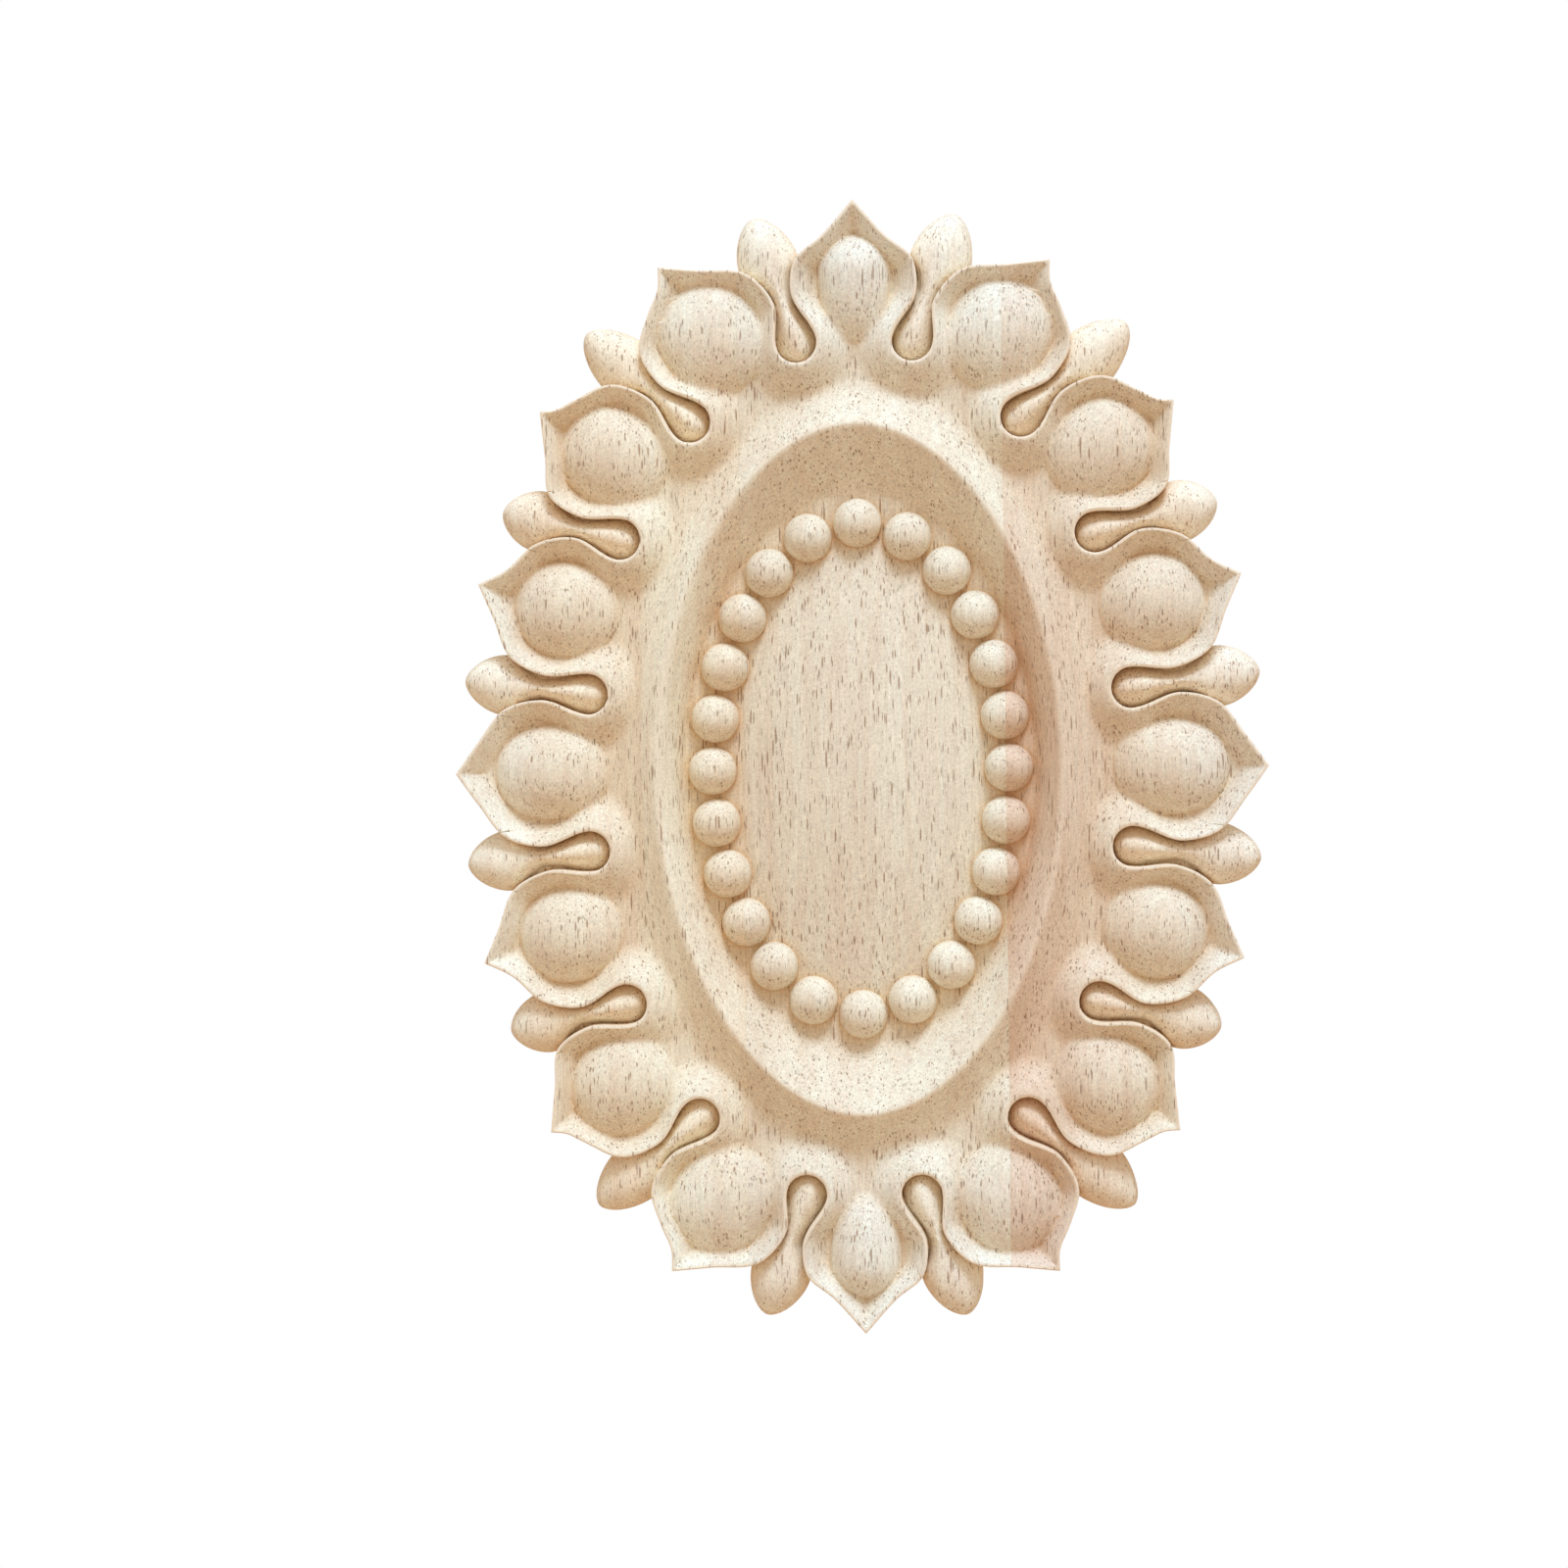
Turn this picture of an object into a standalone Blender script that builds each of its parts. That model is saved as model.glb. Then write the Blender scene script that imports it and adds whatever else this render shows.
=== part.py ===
"""Oval wood applique, carved from one glued-up board with a flat back.

Sixteen pointed petals, each a shallow cup with a thin lip and a domed boss, stand round a
raised oval rim. Sixteen buds on stems lie lower, in the slots between the petals. Inside
the rim a dish slopes down to a ring of beads round a gently domed field.

The design is drawn in millimetres in the plane of the board, x to the right and z up, and
each point of it gets a height above the back. The board stands upright with its back on
the plane Y = 0 and its carved face towards -Y. One quarter is drawn and then mirrored.
"""

import math

import bpy
import numpy as np
from mathutils import Vector
from mathutils.geometry import delaunay_2d_cdt
from mathutils.kdtree import KDTree

MM = 0.001

# Petal tips of one quarter, from the top petal round to the side petal
PETAL_TIPS = [(0.0, 150.0), (51.6, 133.2), (83.5, 95.9), (100.7, 50.5), (107.5, 0.0)]

# The slots between them. Each runs from the middle of its round inner end towards the bud
# tip. A side is drawn through its neck, shoulder and flank, each as (distance along the
# slot from that middle, distance from its axis), and ends at the petal tip.
SLOTS = [
    {
        "end": (15.3, 112.9),
        "bud_tip": (27.0, 146.6),
        "left": [(13.0, 3.2), (20.4, 6.9), (23.9, 15.5)],
        "right": [(12.0, 2.1), (21.0, 5.9), (26.9, 18.4)],
    },
    {
        "end": (43.6, 92.4),
        "bud_tip": (71.9, 117.0),
        "left": [(13.0, 2.3), (22.4, 5.6), (26.8, 14.4), (29.4, 21.6)],
        "right": [(12.5, 2.2), (22.6, 6.0), (27.5, 15.8), (29.6, 20.6)],
    },
    {
        "end": (62.7, 61.8),
        "bud_tip": (95.1, 69.8),
        "left": [(12.3, 3.4), (20.8, 6.8), (24.2, 16.4)],
        "right": [(12.1, 2.3), (21.6, 6.2), (28.0, 15.0)],
    },
    {
        "end": (71.9, 20.9),
        "bud_tip": (106.0, 24.9),
        "left": [(12.5, 3.8), (21.2, 7.2), (27.2, 17.6)],
        "right": [(12.8, 2.9), (21.6, 6.2), (28.0, 16.0)],
    },
]
SLOT_RADIUS = 5.4

# Half width of a stem and bud at distances from the middle of the slot's round end, out to
# the bud's widest place. From there the outline closes in a rounded point at the bud tip.
BUD_WIDTHS = [(-5.4, 0.5), (-4.2, 3.2), (-1.8, 5.1), (1.0, 5.4), (6.0, 4.2), (10.0, 3.2), (13.5, 2.9),
              (17.5, 4.9), (20.5, 7.2), (23.5, 8.1)]
BUD_WIDEST = 23.5
BUD_HALF_WIDTH = 8.1
BUD_POINT = 1.7
BUD_HIDDEN = 19.0

# Heights along the middle of a stem and bud, and along its sides, by the same distances
BUD_RIDGE = [(-6.0, 13.0), (-3.0, 16.3), (1.0, 17.2), (13.0, 16.3), (24.0, 16.2), (38.0, 15.6)]
BUD_EDGE = [(-6.0, 12.0), (6.0, 12.0), (14.0, 11.4), (24.0, 9.4), (38.0, 9.0)]

# Roundness of the section, a hollow flank on the stem and a full one on the pod, and where
# along the slot the one passes into the other
BUD_SECTION = {"stem": 1.1, "pod": 0.55}
BUD_CHANGES = (12.0, 22.0)

# Ovals about the middle of the board, as half width, half height and fullness. A fullness
# of 2 is an ellipse, and less is leaner.
CREST = (53.7, 91.4, 1.93)
VALLEY = (66.8, 104.5, 1.95)
DISH_FOOT = (46.8, 73.1, 1.97)
BEAD_RING = (39.5, 65.5, 2.0)
FIELD_EDGE = (31.5, 57.5, 2.0)
BEAD_COUNT = 24
BEAD_RADIUS = 6.55

# Each boss: its middle, reach towards the petal tip, reach inwards, half width, squareness
BOSSES = [
    {"middle": (0.0, 131.2), "out": 10.4, "inward": 18.4, "half_width": 9.8, "square": 2.0},
    {"middle": (38.0, 114.4), "out": 15.9, "inward": 15.2, "half_width": 14.3, "square": 2.45},
    {"middle": (64.6, 83.9), "out": 14.8, "inward": 15.2, "half_width": 13.4, "square": 2.3},
    {"middle": (78.0, 43.3), "out": 13.8, "inward": 14.6, "half_width": 13.0, "square": 2.1},
    {"middle": (81.6, 0.0), "out": 16.2, "inward": 14.8, "half_width": 13.0, "square": 2.1},
]

# Heights above the back
CREST_HEIGHT = 20.0
VALLEY_HEIGHT = 12.5
LIP_HEIGHT = 18.2
BED_HEIGHT = 10.0
FIELD_HEIGHT = 10.7
FIELD_RISE = 5.6

# Each petal's cup falls from its lip within a reach. The fall is straight in the petals'
# outer part, and longer and eased at both ends round the inner ends of the slots. The
# change is given by how far out a place lies on the valley's oval.
LIP_WIDTH = 0.7
CUP_REACH = {"outer": 6.2, "inner": 10.5}
CUP_STRAIGHT = {"outer": 1.0, "inner": 0.5}
CUP_CHANGES = (1.06, 1.21)

# The domed bosses, and how softly each meets its cup on the outer side and inwards
BOSS_FOOT = 12.7
BOSS_RISE = 7.1
BOSS_ROUND = 0.72
BOSS_JOIN = 0.35
BOSS_MELT = 1.5

# The cove climbs hollow to the crest, the dish falls hollow from it to its bed, and the
# field's edge is a narrow shoulder.
COVE_HOLLOW = 1.35
COVE_JOIN = 0.7
DISH_HOLLOW = 1.3
FIELD_SHOULDER = 0.12
SMALLEST_SPAN = 1e-6

# Spacing of the facets, and the rings of points on each boss as (share of its foot, sides)
LIP_STEP = 2.9
OVAL_STEP = 4.4
GRID_STEP = 5.6
CLEAR_OF_EDGES = 1.7
BOSS_RINGS = ((1.0, 18), (0.84, 14), (0.5, 8))

WOOD_COLOUR = (0.78, 0.62, 0.44, 1.0)
WOOD_ROUGHNESS = 0.62


def clear_scene():
    for thing in list(bpy.data.objects):
        bpy.data.objects.remove(thing, do_unlink=True)


def smooth_curve(stations, first_direction, per_span=12):
    """Points along a curve through the stations, which leaves the first in a set direction."""
    stations = np.array(stations, float)
    spans = np.linalg.norm(np.diff(stations, axis=0), axis=1)
    slopes = np.diff(stations, axis=0) / spans[:, None]
    tangents = np.empty_like(stations)
    tangents[0] = first_direction
    tangents[-1] = slopes[-1]
    before, after = spans[:-1, None], spans[1:, None]
    tangents[1:-1] = (slopes[:-1] * after + slopes[1:] * before) / (before + after)
    points = [stations[0]]
    for i, span in enumerate(spans):
        for t in np.linspace(0, 1, per_span + 1)[1:]:
            start = (1 + 2 * t) * (1 - t) ** 2 * stations[i] + t * (1 - t) ** 2 * span * tangents[i]
            end = t * t * (3 - 2 * t) * stations[i + 1] - t * t * (1 - t) * span * tangents[i + 1]
            points.append(start + end)
    return np.array(points)


def spaced(points, step):
    """The same line with points at an even spacing near the step, both ends kept."""
    lengths = np.append(0, np.cumsum(np.linalg.norm(np.diff(points, axis=0), axis=1)))
    count = max(1, round(lengths[-1] / step))
    at = np.linspace(0, lengths[-1], count + 1)
    return np.stack([np.interp(at, lengths, points[:, 0]), np.interp(at, lengths, points[:, 1])], 1)


def slot_axes(slot):
    """Middle of the round end, the direction along the slot, and the direction to its left."""
    middle = np.array(slot["end"])
    along = np.array(slot["bud_tip"]) - middle
    length = np.linalg.norm(along)
    along = along / length
    return middle, along, np.array([-along[1], along[0]]), length


def slot_side(slot, which, tip):
    """One side of a slot in its own axes, from its round end out to the petal tip."""
    middle, along, left, _ = slot_axes(slot)
    sign = 1 if which == "left" else -1
    reach = np.array(tip) - middle
    stations = [(0.0, SLOT_RADIUS)] + slot[which] + [(reach @ along, abs(reach @ left))]
    side = smooth_curve(stations, (1.0, 0.0))
    return side * (1, sign)


def quarter_lip():
    """The lip line of one quarter, from the top petal's tip to the side petal's tip."""
    turns = np.linspace(math.pi / 2, 3 * math.pi / 2, 25)
    round_end = SLOT_RADIUS * np.stack([np.cos(turns), np.sin(turns)], 1)
    pieces = []
    for slot, tip, next_tip in zip(SLOTS, PETAL_TIPS, PETAL_TIPS[1:]):
        left_side = slot_side(slot, "left", tip)[::-1]
        right_side = slot_side(slot, "right", next_tip)
        outline = np.concatenate([left_side, round_end[1:-1], right_side])
        middle, along, left, _ = slot_axes(slot)
        in_plan = middle + outline[:, :1] * along + outline[:, 1:] * left
        pieces.append(spaced(in_plan, LIP_STEP)[:-1])
    return np.concatenate(pieces + [[PETAL_TIPS[-1]]])


def mirrored_loop(quarter):
    """A closed clockwise loop from a quarter that starts on the z axis and ends on the x axis."""
    lower = quarter[::-1] * (1, -1)
    other_side = quarter * (-1, -1)
    upper = quarter[::-1] * (-1, 1)
    return np.concatenate([quarter[:-1], lower[:-1], other_side[:-1], upper[:-1]])


def oval_radius(points, size):
    """How far out each point lies, with 1 on the oval."""
    half_width, half_height, fullness = size
    across = np.abs(points[:, 0] / half_width) ** fullness
    upward = np.abs(points[:, 1] / half_height) ** fullness
    return (across + upward) ** (1 / fullness)


def fine_oval(size):
    """A closed line of many points round an oval, clockwise from its top."""
    turns = np.linspace(0, 2 * math.pi, 1441)
    rays = np.stack([np.sin(turns), np.cos(turns)], 1)
    return rays / oval_radius(rays, size)[:, None]


def oval(size, step):
    """Evenly spaced points round an oval."""
    return spaced(fine_oval(size), step)[:-1]


def oval_between(inner, outer, share):
    """The oval that lies a share of the way from one oval to another."""
    return tuple(a + share * (b - a) for a, b in zip(inner, outer))


def bead_middles():
    length = np.linalg.norm(np.diff(fine_oval(BEAD_RING), axis=0), axis=1).sum()
    return oval(BEAD_RING, length / BEAD_COUNT)


def circle(middle, radius, sides):
    turns = np.arange(sides) * 2 * math.pi / sides
    return np.array(middle) + radius * np.stack([np.cos(turns), np.sin(turns)], 1)


def bud_outline(length, sides=11):
    """The free end of a bud in its slot's axes, from its hidden left edge round to the right."""
    turns = np.linspace(math.pi / 2, -math.pi / 2, sides)
    reach = length - BUD_WIDEST
    along = BUD_WIDEST + reach * np.abs(np.cos(turns)) ** (2 / BUD_POINT)
    across = BUD_HALF_WIDTH * np.sign(np.sin(turns)) * np.abs(np.sin(turns)) ** (2 / BUD_POINT)
    tail = [(BUD_HIDDEN, BUD_HALF_WIDTH)]
    return np.concatenate([tail, np.stack([along, across], 1), [(BUD_HIDDEN, -BUD_HALF_WIDTH)]])


def smooth_step(value, low, high):
    """How far a value has gone from low to high, eased at both ends."""
    t = np.clip((value - low) / (high - low), 0, 1)
    return t * t * (3 - 2 * t)


def higher_of(a, b, soft):
    """The higher of two surfaces, with the corner between them rounded."""
    return (a + b + np.sqrt((a - b) ** 2 + soft * soft)) / 2


class LipLine:
    """The closed lip line, which answers how far a point is from it and on which side."""

    def __init__(self, loop):
        self.loop = loop
        self.after = np.roll(loop, -1, axis=0)
        self.tree = KDTree(len(loop))
        for i, (x, z) in enumerate(loop):
            self.tree.insert((x, z, 0), i)
        self.tree.balance()

    def to_segment(self, points, i):
        start, end = self.loop[i], self.after[i]
        run = end - start
        t = np.clip(((points - start) * run).sum(1) / (run * run).sum(1), 0, 1)
        return np.linalg.norm(points - start - t[:, None] * run, axis=1)

    def distance(self, points):
        near = np.array([self.tree.find((x, z, 0))[1] for x, z in points], int)
        count = len(self.loop)
        found = [self.to_segment(points, (near + k) % count) for k in (-2, -1, 0, 1)]
        return np.min(found, axis=0)

    def inside(self, points):
        x, z = points[:, 0, None], points[:, 1, None]
        (x0, z0), (x1, z1) = self.loop.T, self.after.T
        crosses = (z0 > z) != (z1 > z)
        slope = np.where(z1 == z0, 1, z1 - z0)
        return (crosses & (x < x0 + (z - z0) * (x1 - x0) / slope)).sum(1) % 2 == 1


def boss_axes(boss, tip):
    """Middle of a boss, the direction to its petal's tip, and the direction to its left."""
    middle = np.array(boss["middle"])
    axis = np.array(tip) - middle
    axis = axis / np.linalg.norm(axis)
    return middle, axis, np.array([-axis[1], axis[0]])


def boss_radius(points, boss, tip):
    """Distance from a boss's middle, with 1 on its foot."""
    middle, axis, side = boss_axes(boss, tip)
    along, across = (points - middle) @ axis, (points - middle) @ side
    reach = np.where(along > 0, boss["out"], boss["inward"])
    power = boss["square"]
    return (np.abs(along / reach) ** power + np.abs(across / boss["half_width"]) ** power) ** (1 / power)


def petal_height(points, lip):
    """Height of the petals: a cup that falls from the lip, and the boss that stands in it."""
    folded = np.abs(points)
    from_lip = lip.distance(points)
    outer = smooth_step(oval_radius(points, VALLEY), *CUP_CHANGES)
    reach = CUP_REACH["inner"] + (CUP_REACH["outer"] - CUP_REACH["inner"]) * outer
    straight = CUP_STRAIGHT["inner"] + (CUP_STRAIGHT["outer"] - CUP_STRAIGHT["inner"]) * outer
    share = np.clip((from_lip - LIP_WIDTH) / (reach - LIP_WIDTH), 0, 1)
    fall = straight * share + (1 - straight) * smooth_step(share, 0, 1)
    height = LIP_HEIGHT - (LIP_HEIGHT - VALLEY_HEIGHT) * fall
    for boss, tip in zip(BOSSES, PETAL_TIPS):
        radius = boss_radius(folded, boss, tip)
        dome = np.clip(1 - radius * radius, 0, 1) ** BOSS_ROUND
        beyond = np.clip(radius - 1, 0, None)
        middle, axis, _ = boss_axes(boss, tip)
        inward = np.clip(-(folded - middle) @ axis / boss["inward"], 0, 1)
        join = BOSS_JOIN + (BOSS_MELT - BOSS_JOIN) * inward
        height = higher_of(height, BOSS_FOOT + BOSS_RISE * (dome - beyond), join)
    return np.where(from_lip < LIP_WIDTH, LIP_HEIGHT, height)


def carved_height(points, lip):
    """Height of the carving inside the lip line: petals, cove, dish, beads and field."""
    crest_at = oval_radius(points, CREST)
    valley_at = oval_radius(points, VALLEY)
    up_cove = np.clip((1 - valley_at) / np.maximum(crest_at - valley_at, SMALLEST_SPAN), 0, 1)
    cove = VALLEY_HEIGHT + (CREST_HEIGHT - VALLEY_HEIGHT) * up_cove ** COVE_HOLLOW
    outside = np.minimum(higher_of(petal_height(points, lip), cove, COVE_JOIN), CREST_HEIGHT)

    foot_at = oval_radius(points, DISH_FOOT)
    up_dish = np.clip((foot_at - 1) / np.maximum(foot_at - crest_at, SMALLEST_SPAN), 0, 1)
    dish = BED_HEIGHT + (CREST_HEIGHT - BED_HEIGHT) * up_dish ** DISH_HOLLOW
    field_at = oval_radius(points, FIELD_EDGE)
    field = FIELD_HEIGHT + FIELD_RISE * (1 - field_at ** 2)
    onto_field = smooth_step(field_at, 1 + FIELD_SHOULDER, 1)
    dish = dish + (field - dish) * onto_field

    near = np.min([np.linalg.norm(points - middle, axis=1) for middle in bead_middles()], axis=0)
    beads = BED_HEIGHT + np.sqrt(np.clip(BEAD_RADIUS ** 2 - near ** 2, 0, None))
    return np.where(crest_at > 1, outside, np.maximum(dish, beads))


def bud_half_width(along, length):
    """Half width of the stem and bud at a distance along the slot."""
    inner = np.interp(along, *smooth_curve(BUD_WIDTHS, (0.2, 1.0)).T)
    out = np.clip((along - BUD_WIDEST) / (length - BUD_WIDEST), 0, 0.999)
    outer = BUD_HALF_WIDTH * (1 - out ** BUD_POINT) ** (1 / BUD_POINT)
    return np.where(along > BUD_WIDEST, outer, inner)


def bud_height(points):
    """Height of the stems and buds, which are round in section and lie between the petals."""
    folded = np.abs(points)
    height = np.zeros(len(points))
    nearest = np.full(len(points), np.inf)
    for slot in SLOTS:
        middle, along_axis, left, length = slot_axes(slot)
        along = (folded - middle) @ along_axis
        across = np.abs((folded - middle) @ left)
        ridge = np.interp(along, *smooth_curve(BUD_RIDGE, (1.0, 0.8)).T)
        edge = np.interp(along, *smooth_curve(BUD_EDGE, (1.0, 0.0)).T)
        pod = smooth_step(along, *BUD_CHANGES)
        power = BUD_SECTION["stem"] + (BUD_SECTION["pod"] - BUD_SECTION["stem"]) * pod
        section = np.clip(1 - (across / bud_half_width(along, length)) ** 2, 0, 1) ** power
        towards_tip = np.clip((along - BUD_WIDEST) / (length - BUD_WIDEST), 0, 1)
        taper = np.sqrt(1 - towards_tip ** 2)
        mine = (across < nearest) & (along > -SLOT_RADIUS - 1) & (along < length + 1)
        height[mine] = (edge + (ridge - edge) * section * taper)[mine]
        nearest[mine] = across[mine]
    return height


class Plan:
    """The points and fixed edges of the drawing that the carved face is built over."""

    def __init__(self):
        self.points = []
        self.edges = []
        self.faces = []

    def loop(self, points, closed=True, face=False):
        first = len(self.points)
        count = len(points)
        self.points.extend(points)
        runs = count if closed else count - 1
        self.edges.extend((first + i, first + (i + 1) % count) for i in range(runs))
        if face:
            self.faces.append(list(range(first, first + count)))

    def scatter(self, points, clear):
        """Add the points that are further than this from every point already there."""
        tree = KDTree(len(self.points))
        for i, (x, z) in enumerate(self.points):
            tree.insert((x, z, 0), i)
        tree.balance()
        kept = [p for p in points if tree.find((p[0], p[1], 0))[2] >= clear]
        self.points.extend(kept)


def four_ways(points):
    """A quarter's points in all four quarters, those on an axis once."""
    copies = []
    for flip in ((1, 1), (1, -1), (-1, -1), (-1, 1)):
        copy = points * flip
        doubled = ((flip[0] < 0) & (points[:, 0] < 1e-6)) | ((flip[1] < 0) & (points[:, 1] < 1e-6))
        copies.append(copy[~doubled])
    return np.concatenate(copies)


def offset_points(loop, distance, step, lip):
    """Points at a distance inside the lip line, left out where another part of it is nearer."""
    line = spaced(np.concatenate([loop, loop[:1]]), step)[:-1]
    run = np.roll(line, -1, axis=0) - np.roll(line, 1, axis=0)
    normal = np.stack([run[:, 1], -run[:, 0]], 1) / np.linalg.norm(run, axis=1)[:, None]
    moved = line + distance * normal
    return moved[(lip.distance(moved) > 0.9 * distance) & lip.inside(moved)]


def hex_grid(size, step):
    rows = []
    row_height = step * math.sqrt(3) / 2
    for j in range(int(size[1] / row_height) + 1):
        shift = step / 2 if j % 2 else 0
        across = np.arange(shift, size[0], step)
        rows.append(np.stack([across, np.full(len(across), j * row_height)], 1))
    return np.concatenate(rows)


def bud_inner_points(slot):
    """Points along the ridge of a stem and bud, and on its two flanks."""
    middle, along_axis, left, length = slot_axes(slot)
    found = []
    for along in np.arange(-2.6, length - 2.2, 2.9):
        half_width = float(bud_half_width(np.array([along]), length)[0])
        for share in ((0,) if half_width < 4 else (-0.55, 0, 0.55)):
            found.append(middle + along * along_axis + share * half_width * left)
    return np.array(found)


def draw_plan():
    plan = Plan()
    loop = mirrored_loop(quarter_lip())
    lip = LipLine(loop)
    plan.loop(loop[::-1], face=True)
    plan.loop(oval(CREST, OVAL_STEP))
    for middle in bead_middles():
        plan.loop(circle(middle, BEAD_RADIUS, 12))
        plan.points.extend(circle(middle, BEAD_RADIUS * 0.86, 12))
        plan.points.extend(circle(middle, BEAD_RADIUS * 0.48, 6))
        plan.points.append(middle)
    buds = []
    for slot in SLOTS:
        middle, along, left, length = slot_axes(slot)
        outline = bud_outline(length)
        in_plan = middle + outline[:, :1] * along + outline[:, 1:] * left
        buds.append(in_plan)
    for flip in ((1, 1), (1, -1), (-1, -1), (-1, 1)):
        for outline in buds:
            plan.loop(outline * flip, closed=False)

    plan.scatter(offset_points(loop, LIP_WIDTH + 0.5, LIP_STEP, lip), 0.9)
    plan.scatter(offset_points(loop, 4.4, 3.8, lip), CLEAR_OF_EDGES)
    for boss, tip in zip(BOSSES, PETAL_TIPS):
        plan.scatter(four_ways(boss_rings(boss, tip)), 2.4)
    for size in (DISH_FOOT, FIELD_EDGE):
        plan.scatter(oval(size, OVAL_STEP + 1), CLEAR_OF_EDGES)
    halfway = oval_between(CREST, DISH_FOOT, 0.5)
    up_the_cove = oval_between(CREST, VALLEY, 0.3)
    lower_cove = oval_between(CREST, VALLEY, 0.72)
    for size in (halfway, up_the_cove, lower_cove):
        plan.scatter(oval(size, OVAL_STEP), CLEAR_OF_EDGES)
    grid = four_ways(hex_grid((110, 150), GRID_STEP))
    grid = grid[lip.inside(grid)]
    plan.scatter(grid, GRID_STEP * 0.62)
    stems = four_ways(np.concatenate([bud_inner_points(slot) for slot in SLOTS]))
    stems = stems[~lip.inside(stems) & (lip.distance(stems) > 0.8)]
    plan.scatter(stems, 1.0)
    return plan, lip


def boss_rings(boss, tip):
    """Points on two rings round a boss and on its top, in the drawn quarter."""
    middle, axis, side = boss_axes(boss, tip)
    found = [middle[None]]
    for share, sides in BOSS_RINGS:
        turns = np.arange(sides) * 2 * math.pi / sides
        rays = np.cos(turns)[:, None] * axis + np.sin(turns)[:, None] * side
        reach = share / boss_radius(middle + rays, boss, tip)
        found.append(middle + reach[:, None] * rays)
    found = np.concatenate(found)
    return found[(found[:, 0] > -1e-6) & (found[:, 1] > -1e-6)]


def in_any_bud(points):
    """Whether each point lies within a stem or bud, as if the petals weren't there."""
    folded = np.abs(points)
    found = np.zeros(len(points), bool)
    for slot in SLOTS:
        middle, along_axis, left, length = slot_axes(slot)
        along = (folded - middle) @ along_axis
        across = np.abs((folded - middle) @ left)
        out = np.clip((along - BUD_WIDEST) / (length - BUD_WIDEST), 0, 1)
        width = BUD_HALF_WIDTH * (1 - out ** BUD_POINT) ** (1 / BUD_POINT)
        found |= (along > -SLOT_RADIUS - 1) & (along < length) & (across < width)
    return found


class Carving:
    """Gathers the vertices and faces of the closed solid."""

    def __init__(self, plan_points):
        self.plan_points = plan_points
        self.vertices = []
        self.faces = []
        self.index = {}

    def vertex(self, point, layer, height):
        key = (point, layer)
        if key not in self.index:
            x, z = self.plan_points[point]
            self.index[key] = len(self.vertices)
            self.vertices.append(Vector((x, -height, z)) * MM)
        return self.index[key]

    def fan(self, corners):
        for b, c in zip(corners[1:], corners[2:]):
            self.faces.append((corners[0], b, c))


def build_mesh():
    plan, lip = draw_plan()
    coords = [Vector((float(x), float(z))) for x, z in plan.points]
    points, _, triangles, _, _, _ = delaunay_2d_cdt(coords, plan.edges, plan.faces, 0, 1e-5)
    points = np.array([tuple(p) for p in points])
    triangles = np.array(triangles)
    middles = points[triangles].mean(axis=1)
    is_petal = lip.inside(middles)
    is_bud = ~is_petal & in_any_bud(middles)
    petal_heights = carved_height(points, lip)
    bud_heights = bud_height(points)

    carving = Carving(points)
    owner = {}
    for triangle, petal, bud in zip(triangles, is_petal, is_bud):
        if not (petal or bud):
            continue
        layer = "petal" if petal else "bud"
        heights = petal_heights if petal else bud_heights
        carving.faces.append(tuple(carving.vertex(i, layer, heights[i]) for i in triangle))
        for a, b in zip(triangle, np.roll(triangle, -1)):
            owner[int(a), int(b)] = layer

    rim = {}
    for (a, b), layer in owner.items():
        other = owner.get((b, a))
        if layer == "petal" and other == "bud":
            top = [carving.index[b, "petal"], carving.index[a, "petal"]]
            carving.fan(top + [carving.index[a, "bud"], carving.index[b, "bud"]])
        elif other is None:
            rim[a] = b
    for a, b in rim.items():
        layer = owner[a, b]
        low_a, low_b = carving.vertex(a, "back", 0), carving.vertex(b, "back", 0)
        top_a, top_b = carving.index[a, layer], carving.index[b, layer]
        if layer == "petal" and (b, "bud") in carving.index:
            carving.fan([top_a, low_a, low_b, carving.index[b, "bud"], top_b])
        elif layer == "petal" and (a, "bud") in carving.index:
            carving.fan([top_b, top_a, carving.index[a, "bud"], low_a, low_b])
        else:
            carving.fan([top_b, top_a, low_a, low_b])

    outline = [next(iter(rim))]
    while rim[outline[-1]] != outline[0]:
        outline.append(rim[outline[-1]])
    edge = [Vector((float(points[i][0]), float(points[i][1]))) for i in outline]
    runs = [(i, (i + 1) % len(edge)) for i in range(len(edge))]
    _, _, back, orig, _, _ = delaunay_2d_cdt(edge, runs, [list(range(len(edge)))], 1, 1e-5)
    for triangle in back:
        corners = [carving.index[outline[orig[i][0]], "back"] for i in reversed(triangle)]
        carving.faces.append(tuple(corners))
    return carving


def wood_material():
    material = bpy.data.materials.new("pale_rubberwood")
    material.use_nodes = True
    shader = material.node_tree.nodes["Principled BSDF"]
    shader.inputs["Base Color"].default_value = WOOD_COLOUR
    shader.inputs["Roughness"].default_value = WOOD_ROUGHNESS
    shader.inputs["Metallic"].default_value = 0.0
    return material


def make_applique():
    carving = build_mesh()
    mesh = bpy.data.meshes.new("carved_applique")
    mesh.from_pydata(carving.vertices, [], carving.faces)
    mesh.update()
    mesh.materials.append(wood_material())
    applique = bpy.data.objects.new("carved_applique", mesh)
    bpy.context.scene.collection.objects.link(applique)
    mesh.shade_smooth()
    mesh.set_sharp_from_angle(angle=math.radians(38))
    print("triangles", len(mesh.polygons))
    return applique


clear_scene()
make_applique()
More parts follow.
